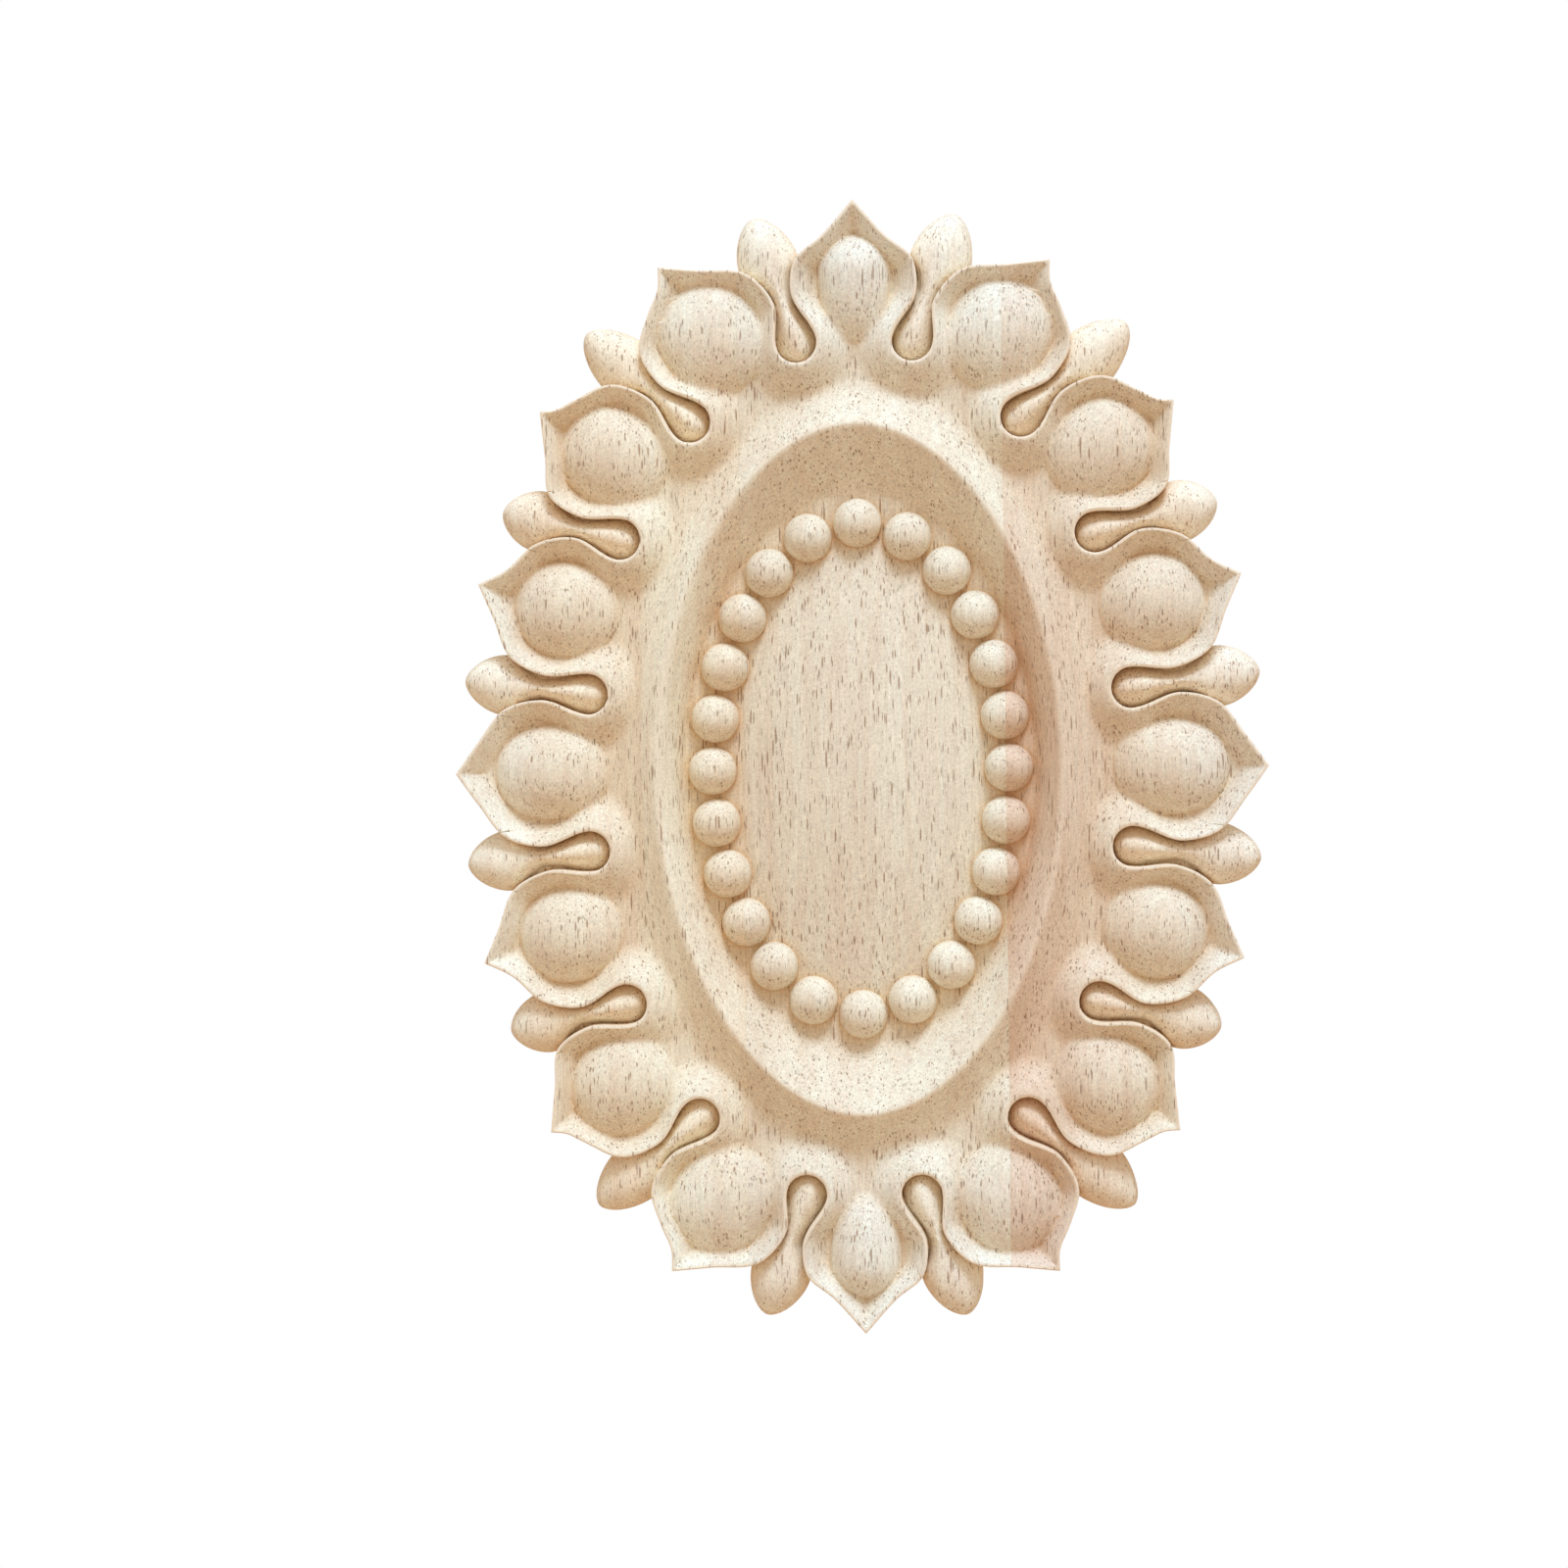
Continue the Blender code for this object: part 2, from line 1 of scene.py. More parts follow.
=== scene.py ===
# %% [markdown]
# # A carved oval onlay of pale rubberwood
#
# An onlay is a flat-backed carving that is glued to a door, a headboard or a wall. This one is cut by a
# router from one board, glued up from three staves. Sixteen pointed petals with thin raised lips and
# domed bosses stand round an oval rim. Lower buds on stems fill the slots between them. Inside the rim
# a dish falls to a ring of beads, round a gently domed field.
#
# A carving in relief is a surface that has one height above every place of the board, so the lesson
# works as the router does: draw the plan flat, decide how high the wood stands over each place, and
# raise the drawing. The steps are: the frame and the camera, the drawing, the heights, the blank, the
# node tree that raises it, the wood, the ring of beads, the tones that follow the form, and the light.

# %% Load the solid that the carving has to fit
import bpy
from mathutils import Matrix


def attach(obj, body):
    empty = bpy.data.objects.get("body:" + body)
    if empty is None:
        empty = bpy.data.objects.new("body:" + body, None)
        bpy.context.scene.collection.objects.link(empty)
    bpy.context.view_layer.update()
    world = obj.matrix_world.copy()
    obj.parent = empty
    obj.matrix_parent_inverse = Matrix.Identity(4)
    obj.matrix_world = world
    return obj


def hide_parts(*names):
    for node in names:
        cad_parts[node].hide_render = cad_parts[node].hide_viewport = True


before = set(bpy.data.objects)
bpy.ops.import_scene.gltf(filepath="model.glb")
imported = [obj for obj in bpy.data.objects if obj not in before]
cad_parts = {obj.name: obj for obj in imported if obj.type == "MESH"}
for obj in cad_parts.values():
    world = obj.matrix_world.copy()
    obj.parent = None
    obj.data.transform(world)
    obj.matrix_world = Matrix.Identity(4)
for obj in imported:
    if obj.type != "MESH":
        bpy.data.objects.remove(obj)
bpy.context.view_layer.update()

# %% The libraries, and the unit that the carving is drawn in
import math

import bpy
import numpy as np
from mathutils import Matrix, Vector
from mathutils.bvhtree import BVHTree
from mathutils.geometry import delaunay_2d_cdt
from mathutils.kdtree import KDTree

MM = 0.001
QUARTERS = ((1, 1), (1, -1), (-1, -1), (-1, 1))


def add_object(name, data):
    """A new object in the scene."""
    thing = bpy.data.objects.new(name, data)
    bpy.context.scene.collection.objects.link(thing)
    return thing


print("one unit of the drawing is", MM, "m")

# %% [markdown]
# ## The camera
#
# The onlay is seen almost square on, a little from its right and from above. It stands right of the
# picture's middle, so the camera aims at a point to its left. A camera is easiest to reason about as an
# aim, three angles and a distance. The script turns those into a matrix whose columns are the camera's
# right, its up and the direction back from the aim.

# %% The camera's aim, angles and lens
CAMERA_AIM = Vector((-0.0211, 0.0, -0.0041))
CAMERA_DISTANCE = 0.84
CAMERA_AZIMUTH = math.radians(3.7)
CAMERA_ELEVATION = math.radians(1.94)
CAMERA_ROLL = math.radians(-0.755)
CAMERA_LENS = 71.30


def place_camera():
    flat = math.cos(CAMERA_ELEVATION)
    back = Vector((
        math.sin(CAMERA_AZIMUTH) * flat,
        -math.cos(CAMERA_AZIMUTH) * flat,
        math.sin(CAMERA_ELEVATION),
    ))
    level = Vector((math.cos(CAMERA_AZIMUTH), math.sin(CAMERA_AZIMUTH), 0.0))
    upright = back.cross(level)
    right = level * math.cos(CAMERA_ROLL) + upright * math.sin(CAMERA_ROLL)
    up = upright * math.cos(CAMERA_ROLL) - level * math.sin(CAMERA_ROLL)
    camera = add_object("camera", bpy.data.cameras.new("camera"))
    camera.data.lens = CAMERA_LENS
    camera.matrix_world = Matrix((right, up, back)).transposed().to_4x4()
    camera.location = CAMERA_AIM + CAMERA_DISTANCE * back
    bpy.context.scene.camera = camera
    return camera


print("camera stands at", [round(value, 3) for value in place_camera().location])

# %% [markdown]
# ## The drawing: the lip line
#
# One thin raised lip runs round the whole onlay: out to a petal's tip, back along its side, round the
# inner end of a keyhole slot and out again to the next tip. A maker draws one quarter and mirrors it
# both ways, and so does this step. Each slot is drawn in its own axes, with the distance along the slot
# first and the distance from its middle line second, because the four slots of a quarter are the same
# idea turned and stretched. A side needs three or four stations: the neck, the shoulder and the flank. A
# smooth curve through them is shorter and truer than a long list of points.

# %% Petal tips and slots of one quarter, in millimetres
PETAL_TIPS = [(0.0, 150.0), (51.6, 133.2), (83.5, 95.9), (100.7, 50.5), (107.5, 0.0)]
SLOT_RADIUS = 5.4
SLOTS = [
    {
        "end": (15.3, 112.9),
        "bud_tip": (27.0, 146.6),
        "left": [(13.0, 3.2), (20.4, 6.9), (23.9, 15.5)],
        "right": [(12.0, 2.1), (21.0, 5.9), (26.9, 18.4)],
    },
    {
        "end": (43.6, 92.4),
        "bud_tip": (71.9, 117.0),
        "left": [(13.0, 2.3), (22.4, 5.6), (26.8, 14.4), (29.4, 21.6)],
        "right": [(12.5, 2.2), (22.6, 6.0), (27.5, 15.8), (29.6, 20.6)],
    },
    {
        "end": (62.7, 61.8),
        "bud_tip": (95.1, 69.8),
        "left": [(12.3, 3.4), (20.8, 6.8), (24.2, 16.4)],
        "right": [(12.1, 2.3), (21.6, 6.2), (28.0, 15.0)],
    },
    {
        "end": (71.9, 20.9),
        "bud_tip": (106.0, 24.9),
        "left": [(12.5, 3.8), (21.2, 7.2), (27.2, 17.6)],
        "right": [(12.8, 2.9), (21.6, 6.2), (28.0, 16.0)],
    },
]
print(len(PETAL_TIPS), "petal tips and", len(SLOTS), "slots drawn")


# %% A smooth curve through stations, and even spacing along a line
def smooth_curve(stations, first_direction, per_span=16):
    """Points along a curve through the stations, which leaves the first in a set direction."""
    stations = np.array(stations, float)
    spans = np.linalg.norm(np.diff(stations, axis=0), axis=1)
    slopes = np.diff(stations, axis=0) / spans[:, None]
    tangents = np.empty_like(stations)
    tangents[0] = first_direction
    tangents[-1] = slopes[-1]
    before, after = spans[:-1, None], spans[1:, None]
    tangents[1:-1] = (slopes[:-1] * after + slopes[1:] * before) / (before + after)
    points = [stations[0]]
    for i, span in enumerate(spans):
        for t in np.linspace(0, 1, per_span + 1)[1:]:
            start = (1 + 2 * t) * (1 - t) ** 2 * stations[i] + t * (1 - t) ** 2 * span * tangents[i]
            end = t * t * (3 - 2 * t) * stations[i + 1] - t * t * (1 - t) * span * tangents[i + 1]
            points.append(start + end)
    return np.array(points)


def spaced(points, step):
    """The same line with points at an even spacing near the step, both ends kept."""
    lengths = np.append(0, np.cumsum(np.linalg.norm(np.diff(points, axis=0), axis=1)))
    count = max(1, round(lengths[-1] / step))
    at = np.linspace(0, lengths[-1], count + 1)
    return np.stack([np.interp(at, lengths, points[:, 0]), np.interp(at, lengths, points[:, 1])], 1)


print("a curve through three stations has", len(smooth_curve([(0, 0), (1, 1), (2, 0)], (1.0, 0.0))), "points")


# %% One slot in its own axes
def slot_axes(slot):
    """Middle of the round end, the direction along the slot, the direction to its left, its length."""
    middle = np.array(slot["end"])
    along = np.array(slot["bud_tip"]) - middle
    length = np.linalg.norm(along)
    along = along / length
    return middle, along, np.array([-along[1], along[0]]), length


def on_board(points, slot):
    """Points given in a slot's own axes, as places on the board."""
    middle, along, left, _ = slot_axes(slot)
    return middle + points[:, :1] * along + points[:, 1:] * left


def in_slot(points, slot):
    """Places on the board as distances along the slot and from its middle line."""
    middle, along, left, _ = slot_axes(slot)
    return (points - middle) @ along, np.abs((points - middle) @ left)


print("slots run", [round(float(slot_axes(slot)[-1]), 1) for slot in SLOTS], "mm out to their buds' tips")

# %% The lip line of one quarter, slot by slot
LIP_STEP = 0.75
ROUND_END_POINTS = 49


def slot_side(slot, which, tip):
    """One side of a slot in its own axes, from its round end out to the petal tip."""
    middle, along, left, _ = slot_axes(slot)
    sign = 1 if which == "left" else -1
    reach = np.array(tip) - middle
    stations = [(0.0, SLOT_RADIUS)] + slot[which] + [(reach @ along, abs(reach @ left))]
    return smooth_curve(stations, (1.0, 0.0)) * (1, sign)


def quarter_lip():
    """The lip line of one quarter, from the top petal's tip to the side petal's tip."""
    turns = np.linspace(math.pi / 2, 3 * math.pi / 2, ROUND_END_POINTS)
    round_end = SLOT_RADIUS * np.stack([np.cos(turns), np.sin(turns)], 1)
    pieces = []
    for slot, tip, next_tip in zip(SLOTS, PETAL_TIPS, PETAL_TIPS[1:]):
        sides = slot_side(slot, "left", tip)[::-1], slot_side(slot, "right", next_tip)
        outline = np.concatenate([sides[0], round_end[1:-1], sides[1]])
        pieces.append(spaced(on_board(outline, slot), LIP_STEP)[:-1])
    return np.concatenate(pieces + [[PETAL_TIPS[-1]]])


def mirrored_loop(quarter):
    """A closed clockwise loop from a quarter that starts on the z axis and ends on the x axis."""
    lower = quarter[::-1] * (1, -1)
    other_side = quarter * (-1, -1)
    upper = quarter[::-1] * (-1, 1)
    return np.concatenate([quarter[:-1], lower[:-1], other_side[:-1], upper[:-1]])


lip_loop = mirrored_loop(quarter_lip())
lip_length = np.linalg.norm(np.roll(lip_loop, -1, axis=0) - lip_loop, axis=1).sum()
print("lip line", round(lip_length), "mm long,", len(lip_loop), "points")


# %% How far a place is from the lip line, and on which side
class LipLine:
    """The closed lip line, which answers how far a point is from it and whether it lies inside."""

    def __init__(self, loop):
        self.loop = loop
        self.after = np.roll(loop, -1, axis=0)
        self.tree = KDTree(len(loop))
        for i, (x, z) in enumerate(loop):
            self.tree.insert((x, z, 0), i)
        self.tree.balance()

    def to_segment(self, points, i):
        start, end = self.loop[i], self.after[i]
        run = end - start
        t = np.clip(((points - start) * run).sum(1) / (run * run).sum(1), 0, 1)
        return np.linalg.norm(points - start - t[:, None] * run, axis=1)

    def distance(self, points):
        near = np.array([self.tree.find((x, z, 0))[1] for x, z in points], int)
        found = [self.to_segment(points, (near + k) % len(self.loop)) for k in (-2, -1, 0, 1)]
        return np.min(found, axis=0)

    def inside(self, points, batch=2000):
        (x0, z0), (x1, z1) = self.loop.T, self.after.T
        slope = (x1 - x0) / np.where(z1 == z0, 1, z1 - z0)
        found = []
        for first in range(0, len(points), batch):
            x, z = points[first:first + batch, 0, None], points[first:first + batch, 1, None]
            crosses = ((z0 > z) != (z1 > z)) & (x < x0 + (z - z0) * slope)
            found.append(crosses.sum(1) % 2 == 1)
        return np.concatenate(found)


lip = LipLine(lip_loop)
print("the lip comes within", round(float(lip.distance(np.zeros((1, 2)))[0]), 1), "mm of the middle")

# %% [markdown]
# ## The drawing: buds and ovals
#
# A bud is a small pod on a stem. Its stem starts as a round head in the end of the slot, thins to a neck
# and swells into the pod, whose free end looks out between two petals. Only the free end needs an
# outline. The rest is hidden by the petals' lips, where the wall of the slot cuts it off. The rim, the
# dish and the field are ovals round one middle. A plain ellipse is a little too full for the rim, so an
# oval here has a third number beside its two half sizes: 2 is an ellipse, and less is leaner.

# %% Sizes of the buds
BUD_WIDTHS = [(-5.4, 0.5), (-4.2, 3.2), (-1.8, 5.1), (1.0, 5.4), (6.0, 4.2), (10.0, 3.2), (13.5, 2.9),
              (17.5, 4.9), (20.5, 7.2), (23.5, 8.1)]
BUD_WIDEST = 23.5
BUD_HALF_WIDTH = 8.1
BUD_POINT = 1.7
BUD_HIDDEN = 19.0
BUD_STARTS_ALONG = (0.2, 1.0)
ALMOST_THE_TIP = 0.999


def bud_outline(length, sides=41):
    """The free end of a bud in its slot's axes, from its hidden left edge round to the right."""
    turns = np.linspace(math.pi / 2, -math.pi / 2, sides)
    along = BUD_WIDEST + (length - BUD_WIDEST) * np.abs(np.cos(turns)) ** (2 / BUD_POINT)
    across = BUD_HALF_WIDTH * np.sign(np.sin(turns)) * np.abs(np.sin(turns)) ** (2 / BUD_POINT)
    free_end = np.stack([along, across], 1)
    return np.concatenate([[(BUD_HIDDEN, BUD_HALF_WIDTH)], free_end, [(BUD_HIDDEN, -BUD_HALF_WIDTH)]])


def bud_half_width(along, length):
    """Half width of the stem and bud at a distance along the slot."""
    inner = np.interp(along, *smooth_curve(BUD_WIDTHS, BUD_STARTS_ALONG).T)
    out = np.clip((along - BUD_WIDEST) / (length - BUD_WIDEST), 0, ALMOST_THE_TIP)
    outer = BUD_HALF_WIDTH * (1 - out ** BUD_POINT) ** (1 / BUD_POINT)
    return np.where(along > BUD_WIDEST, outer, inner)


neck = min(half_width for _, half_width in BUD_WIDTHS[2:])
print("bud", 2 * BUD_HALF_WIDTH, "mm wide and", 2 * neck, "mm at its neck")

# %% Sizes of the ovals: half width, half height, fullness
CREST = (53.7, 91.4, 1.93)
VALLEY = (66.8, 104.5, 1.95)
DISH_FOOT = (46.8, 73.1, 1.97)
FIELD_EDGE = (31.5, 57.5, 2.0)
BEAD_RING = (39.5, 65.5, 2.0)


def oval_radius(points, size):
    """How far out each point lies, with 1 on the oval."""
    half_width, half_height, fullness = size
    across = np.abs(points[:, 0] / half_width) ** fullness
    upward = np.abs(points[:, 1] / half_height) ** fullness
    return (across + upward) ** (1 / fullness)


def oval(size, step, fine_points=1441):
    """Evenly spaced points round an oval, clockwise from its top."""
    turns = np.linspace(0, 2 * math.pi, fine_points)
    flat = np.stack([np.sin(turns), np.cos(turns)], 1)
    fine = flat / oval_radius(flat, size)[:, None]
    return spaced(fine, step)[:-1]


print("rim", len(oval(CREST, 1.0)), "mm round")

# %% [markdown]
# ## The drawing: where the points lie
#
# The raised surface is only as good as the points under it. They lie close together where the wood
# turns quickly, which is beside the lip and the crest, round the foot of each boss and along the edge of
# each bud, and on an even honeycomb elsewhere. Each kind keeps clear of the points drawn before it. A
# regular grid alone would leave saw teeth on every edge. The lip line, the crest and the buds' outlines
# are fixed edges that no triangle may cross, and a constrained Delaunay triangulation joins the rest.


# %% The drawing, which collects points and fixed edges
class Drawing:
    """Points of the plan, and the edges between them that stay."""

    def __init__(self):
        self.points = []
        self.edges = []

    def line(self, points, closed=True):
        first, count = len(self.points), len(points)
        self.points.extend(points)
        runs = count if closed else count - 1
        self.edges.extend((first + i, first + (i + 1) % count) for i in range(runs))

    def scatter(self, points, clear):
        """Add the points that are further than this from every point already there."""
        tree = KDTree(len(self.points))
        for i, (x, z) in enumerate(self.points):
            tree.insert((x, z, 0), i)
        tree.balance()
        self.points.extend(p for p in points if tree.find((p[0], p[1], 0))[2] >= clear)


drawing = Drawing()
drawing.line(lip_loop)
print("the drawing begins with", len(drawing.edges), "edges of the lip line")

# %% Points beside the lip, points in all quarters, and a honeycomb
NEARLY_NOTHING = 1e-6
STILL_NEAREST = 0.94


def four_ways(points):
    """A quarter's points in all four quarters, those on an axis once."""
    copies = []
    for flip in QUARTERS:
        on_axis = points < NEARLY_NOTHING
        doubled = ((flip[0] < 0) & on_axis[:, 0]) | ((flip[1] < 0) & on_axis[:, 1])
        copies.append((points * flip)[~doubled])
    return np.concatenate(copies)


def beside_the_lip(distance, step):
    """Points at a distance inside the lip line, left out where another part of it is nearer."""
    line = spaced(np.concatenate([lip_loop, lip_loop[:1]]), step)[:-1]
    run = np.roll(line, -1, axis=0) - np.roll(line, 1, axis=0)
    normal = np.stack([run[:, 1], -run[:, 0]], 1) / np.linalg.norm(run, axis=1)[:, None]
    moved = line + distance * normal
    return moved[(lip.distance(moved) > STILL_NEAREST * distance) & lip.inside(moved)]


def honeycomb(size, step):
    rows = []
    row_height = step * math.sqrt(3) / 2
    for j in range(int(size[1] / row_height) + 1):
        across = np.arange(step / 2 if j % 2 else 0, size[0], step)
        rows.append(np.stack([across, np.full(len(across), j * row_height)], 1))
    return np.concatenate(rows)


print(len(honeycomb((10, 10), 1.0)), "honeycomb points to a square centimetre")

# %% The bosses, each drawn round its own middle and turned towards its petal's tip
BOSSES = [
    {"middle": (0.0, 131.2), "out": 10.4, "inward": 18.4, "half_width": 9.8, "square": 2.0},
    {"middle": (38.0, 114.4), "out": 15.9, "inward": 15.2, "half_width": 14.3, "square": 2.45},
    {"middle": (64.6, 83.9), "out": 14.8, "inward": 15.2, "half_width": 13.4, "square": 2.3},
    {"middle": (78.0, 43.3), "out": 13.8, "inward": 14.6, "half_width": 13.0, "square": 2.1},
    {"middle": (81.6, 0.0), "out": 16.2, "inward": 14.8, "half_width": 13.0, "square": 2.1},
]


def boss_axes(boss, tip):
    middle = np.array(boss["middle"])
    axis = np.array(tip) - middle
    axis = axis / np.linalg.norm(axis)
    return middle, axis, np.array([-axis[1], axis[0]])


def boss_radius(points, boss, tip):
    """Distance from a boss's middle, with 1 on its foot."""
    middle, axis, side = boss_axes(boss, tip)
    along, across = (points - middle) @ axis, (points - middle) @ side
    reach = np.where(along > 0, boss["out"], boss["inward"])
    power = boss["square"]
    return (np.abs(along / reach) ** power + np.abs(across / boss["half_width"]) ** power) ** (1 / power)


def boss_rings(boss, tip, shares, step):
    """Points on rings round a boss, in the drawn quarter."""
    middle, axis, side = boss_axes(boss, tip)
    found = []
    for share in shares:
        sides = int(2 * math.pi * share * boss["half_width"] / step)
        turns = np.arange(sides) * 2 * math.pi / sides
        rays = np.cos(turns)[:, None] * axis + np.sin(turns)[:, None] * side
        reach = share / boss_radius(middle + rays, boss, tip)
        found.append(middle + reach[:, None] * rays)
    found = np.concatenate(found)
    return found[(found > -NEARLY_NOTHING).all(axis=1)]


print(len(BOSSES), "bosses drawn in the quarter")


# %% Rows of points along a stem and bud
BUD_ROWS_FROM = -4.6
BUD_ROWS_SHORT = 0.5


def bud_rows(slot, shares, step):
    length = slot_axes(slot)[-1]
    along = np.arange(BUD_ROWS_FROM, length - BUD_ROWS_SHORT, step)
    half_width = bud_half_width(along, length)
    signed = [sign * share for share in shares for sign in (-1, 1)]
    return np.concatenate([on_board(np.stack([along, share * half_width], 1), slot) for share in signed])


print(len(bud_rows(SLOTS[0], (1.0,), 1.0)), "points round the top bud at 1 mm steps")

# %% Put the drawing together
GRID_STEP = 1.0
OVAL_STEP = 1.1
BUD_STEP = 0.8
LIP_ROWS = (0.3, 0.8, 1.3, 2.0)
FOOT_RINGS = (1.05, 1.0, 0.95, 0.9)
BUD_ROWS = (0.97, 0.9, 0.78)
CREST_ROWS = (0.993, 1.007, 0.985, 1.015, 0.97, 1.03)
CLEAR = {"lip": 0.28, "foot": 0.45, "bud": 0.4, "crest": 0.3, "grid": 0.62}
QUARTER_SIZE = (110, 152)

drawing.line(oval(CREST, OVAL_STEP))
for slot in SLOTS:
    outline = on_board(bud_outline(slot_axes(slot)[-1]), slot)
    for flip in QUARTERS:
        drawing.line(outline * flip, closed=False)
for distance in LIP_ROWS:
    drawing.scatter(beside_the_lip(distance, LIP_STEP), CLEAR["lip"])
for boss, tip in zip(BOSSES, PETAL_TIPS):
    drawing.scatter(four_ways(boss_rings(boss, tip, FOOT_RINGS, GRID_STEP)), CLEAR["foot"])
for slot in SLOTS:
    drawing.scatter(four_ways(bud_rows(slot, BUD_ROWS, BUD_STEP)), CLEAR["bud"])
for share in CREST_ROWS:
    near_crest = (CREST[0] * share, CREST[1] * share, CREST[2])
    drawing.scatter(oval(near_crest, OVAL_STEP), CLEAR["crest"])
drawing.scatter(four_ways(honeycomb(QUARTER_SIZE, GRID_STEP)), CLEAR["grid"])
print(len(drawing.points), "points and", len(drawing.edges), "fixed edges")

# %% Join the points into triangles, and keep those that are wood
JOIN_WITHIN = 1e-5
BUD_MARGIN = 1

coords = [Vector((float(x), float(z))) for x, z in drawing.points]
joined = delaunay_2d_cdt(coords, drawing.edges, [], 0, JOIN_WITHIN)
plan_points = np.array([tuple(point) for point in joined[0]])
triangles = np.array(joined[2])


def in_any_bud(points):
    """Whether each point lies within a stem or bud, as if the petals weren't there."""
    folded = np.abs(points)
    found = np.zeros(len(points), bool)
    for slot in SLOTS:
        length = slot_axes(slot)[-1]
        along, across = in_slot(folded, slot)
        out = np.clip((along - BUD_WIDEST) / (length - BUD_WIDEST), 0, 1)
        width = BUD_HALF_WIDTH * (1 - out ** BUD_POINT) ** (1 / BUD_POINT)
        found |= (along > -SLOT_RADIUS - BUD_MARGIN) & (along < length) & (across < width)
    return found


centres = plan_points[triangles].mean(axis=1)
is_petal = lip.inside(centres)
is_bud = ~is_petal & in_any_bud(centres)
print(is_petal.sum(), "triangles inside the lip and", is_bud.sum(), "on the buds")

# %% [markdown]
# ## The heights of petals and buds
#
# Each petal is a shallow cup, which falls with the distance from the lip line. Near the outline it falls
# straight down from the lip. Beside the slots' inner ends it falls over a longer way, eased at its top
# and bottom. Where two lips are equally far the cup has its crease, as at every petal's tip. The domed
# boss stands in the cup and the higher of the two surfaces wins, with a small fillet where they meet that
# widens towards the middle of the onlay, so that the boss melts into the cup there. On a stem or bud a
# ridge line gives the height along the middle, and an edge line the height at the side. Between the two
# a stem's flank is lean, and a pod is nearly half round.

# %% Heights above the back, in millimetres
LIP_HEIGHT = 18.2
LIP_WIDTH = 0.7
LIP_ARRIS = 0.18
ARRIS_WIDTH = 0.3
CUP_REACH = {"inner": 10.5, "outer": 6.2}
CUP_STRAIGHT = {"inner": 0.5, "outer": 1.0}
CUP_CHANGES = (1.06, 1.21)
VALLEY_HEIGHT = 12.5
BOSS_FOOT = 12.7
BOSS_RISE = 7.1
BOSS_ROUND = 0.72
BOSS_JOIN = {"outside": 0.35, "inside": 1.5}
BUD_RIDGE = [(-6.0, 13.0), (-3.0, 16.3), (1.0, 17.2), (13.0, 16.3), (24.0, 16.2), (38.0, 15.6)]
BUD_EDGE = [(-6.0, 12.0), (6.0, 12.0), (14.0, 11.4), (24.0, 9.4), (38.0, 9.0)]
RIDGE_STARTS_ALONG = (1.0, 0.8)
EDGE_STARTS_ALONG = (1.0, 0.0)
BUD_SECTION = {"stem": 1.1, "pod": 0.55}
BUD_CHANGES = (12.0, 22.0)
print("a petal falls", round(LIP_HEIGHT - VALLEY_HEIGHT, 1), "mm from its lip to the valley")


# %% The heights of the petals
def higher_of(a, b, soft):
    """The higher of two surfaces, with the corner between them rounded."""
    return (a + b + np.sqrt((a - b) ** 2 + soft * soft)) / 2


def smooth_step(value, low, high):
    """How far a value has gone from low to high, eased at both ends."""
    t = np.clip((value - low) / (high - low), 0, 1)
    return t * t * (3 - 2 * t)


def change(ends, share):
    """The value that lies a share of the way from the first of two to the second."""
    first, last = ends.values()
    return first + (last - first) * share


def petal_height(points):
    """Height of the petals: a cup that falls from the lip, and the boss that stands in it."""
    folded = np.abs(points)
    from_lip = lip.distance(points)
    outer = smooth_step(oval_radius(points, VALLEY), *CUP_CHANGES)
    reach, straight = change(CUP_REACH, outer), change(CUP_STRAIGHT, outer)
    share = np.clip((from_lip - LIP_WIDTH) / (reach - LIP_WIDTH), 0, 1)
    fall = straight * share + (1 - straight) * smooth_step(share, 0, 1)
    height = LIP_HEIGHT - (LIP_HEIGHT - VALLEY_HEIGHT) * fall
    for boss, tip in zip(BOSSES, PETAL_TIPS):
        radius = boss_radius(folded, boss, tip)
        dome = np.clip(1 - radius * radius, 0, 1) ** BOSS_ROUND
        beyond = np.clip(radius - 1, 0, None)
        middle, axis, _ = boss_axes(boss, tip)
        inward = np.clip(-(folded - middle) @ axis / boss["inward"], 0, 1)
        height = higher_of(height, BOSS_FOOT + BOSS_RISE * (dome - beyond), change(BOSS_JOIN, inward))
    worn = LIP_ARRIS * np.clip(1 - from_lip / ARRIS_WIDTH, 0, 1)
    return np.where(from_lip < LIP_WIDTH, LIP_HEIGHT - worn, height)


# %% The heights of the stems and buds
def bud_height(points):
    """Height of the stems and buds, which are round in section and lie between the petals."""
    folded = np.abs(points)
    height = np.zeros(len(points))
    nearest = np.full(len(points), np.inf)
    for slot in SLOTS:
        length = slot_axes(slot)[-1]
        along, across = in_slot(folded, slot)
        ridge = np.interp(along, *smooth_curve(BUD_RIDGE, RIDGE_STARTS_ALONG).T)
        edge = np.interp(along, *smooth_curve(BUD_EDGE, EDGE_STARTS_ALONG).T)
        power = change(BUD_SECTION, smooth_step(along, *BUD_CHANGES))
        section = np.clip(1 - (across / bud_half_width(along, length)) ** 2, 0, 1) ** power
        towards_tip = np.clip((along - BUD_WIDEST) / (length - BUD_WIDEST), 0, 1)
        taper = np.sqrt(1 - towards_tip ** 2)
        mine = (across < nearest) & (along > -SLOT_RADIUS - BUD_MARGIN) & (along < length + BUD_MARGIN)
        height[mine] = (edge + (ridge - edge) * section * taper)[mine]
        nearest[mine] = across[mine]
    return height


petal_heights = petal_height(plan_points)
bud_heights = bud_height(plan_points)
print("petals reach", round(float(petal_heights[np.unique(triangles[is_petal])].max()), 1), "mm")

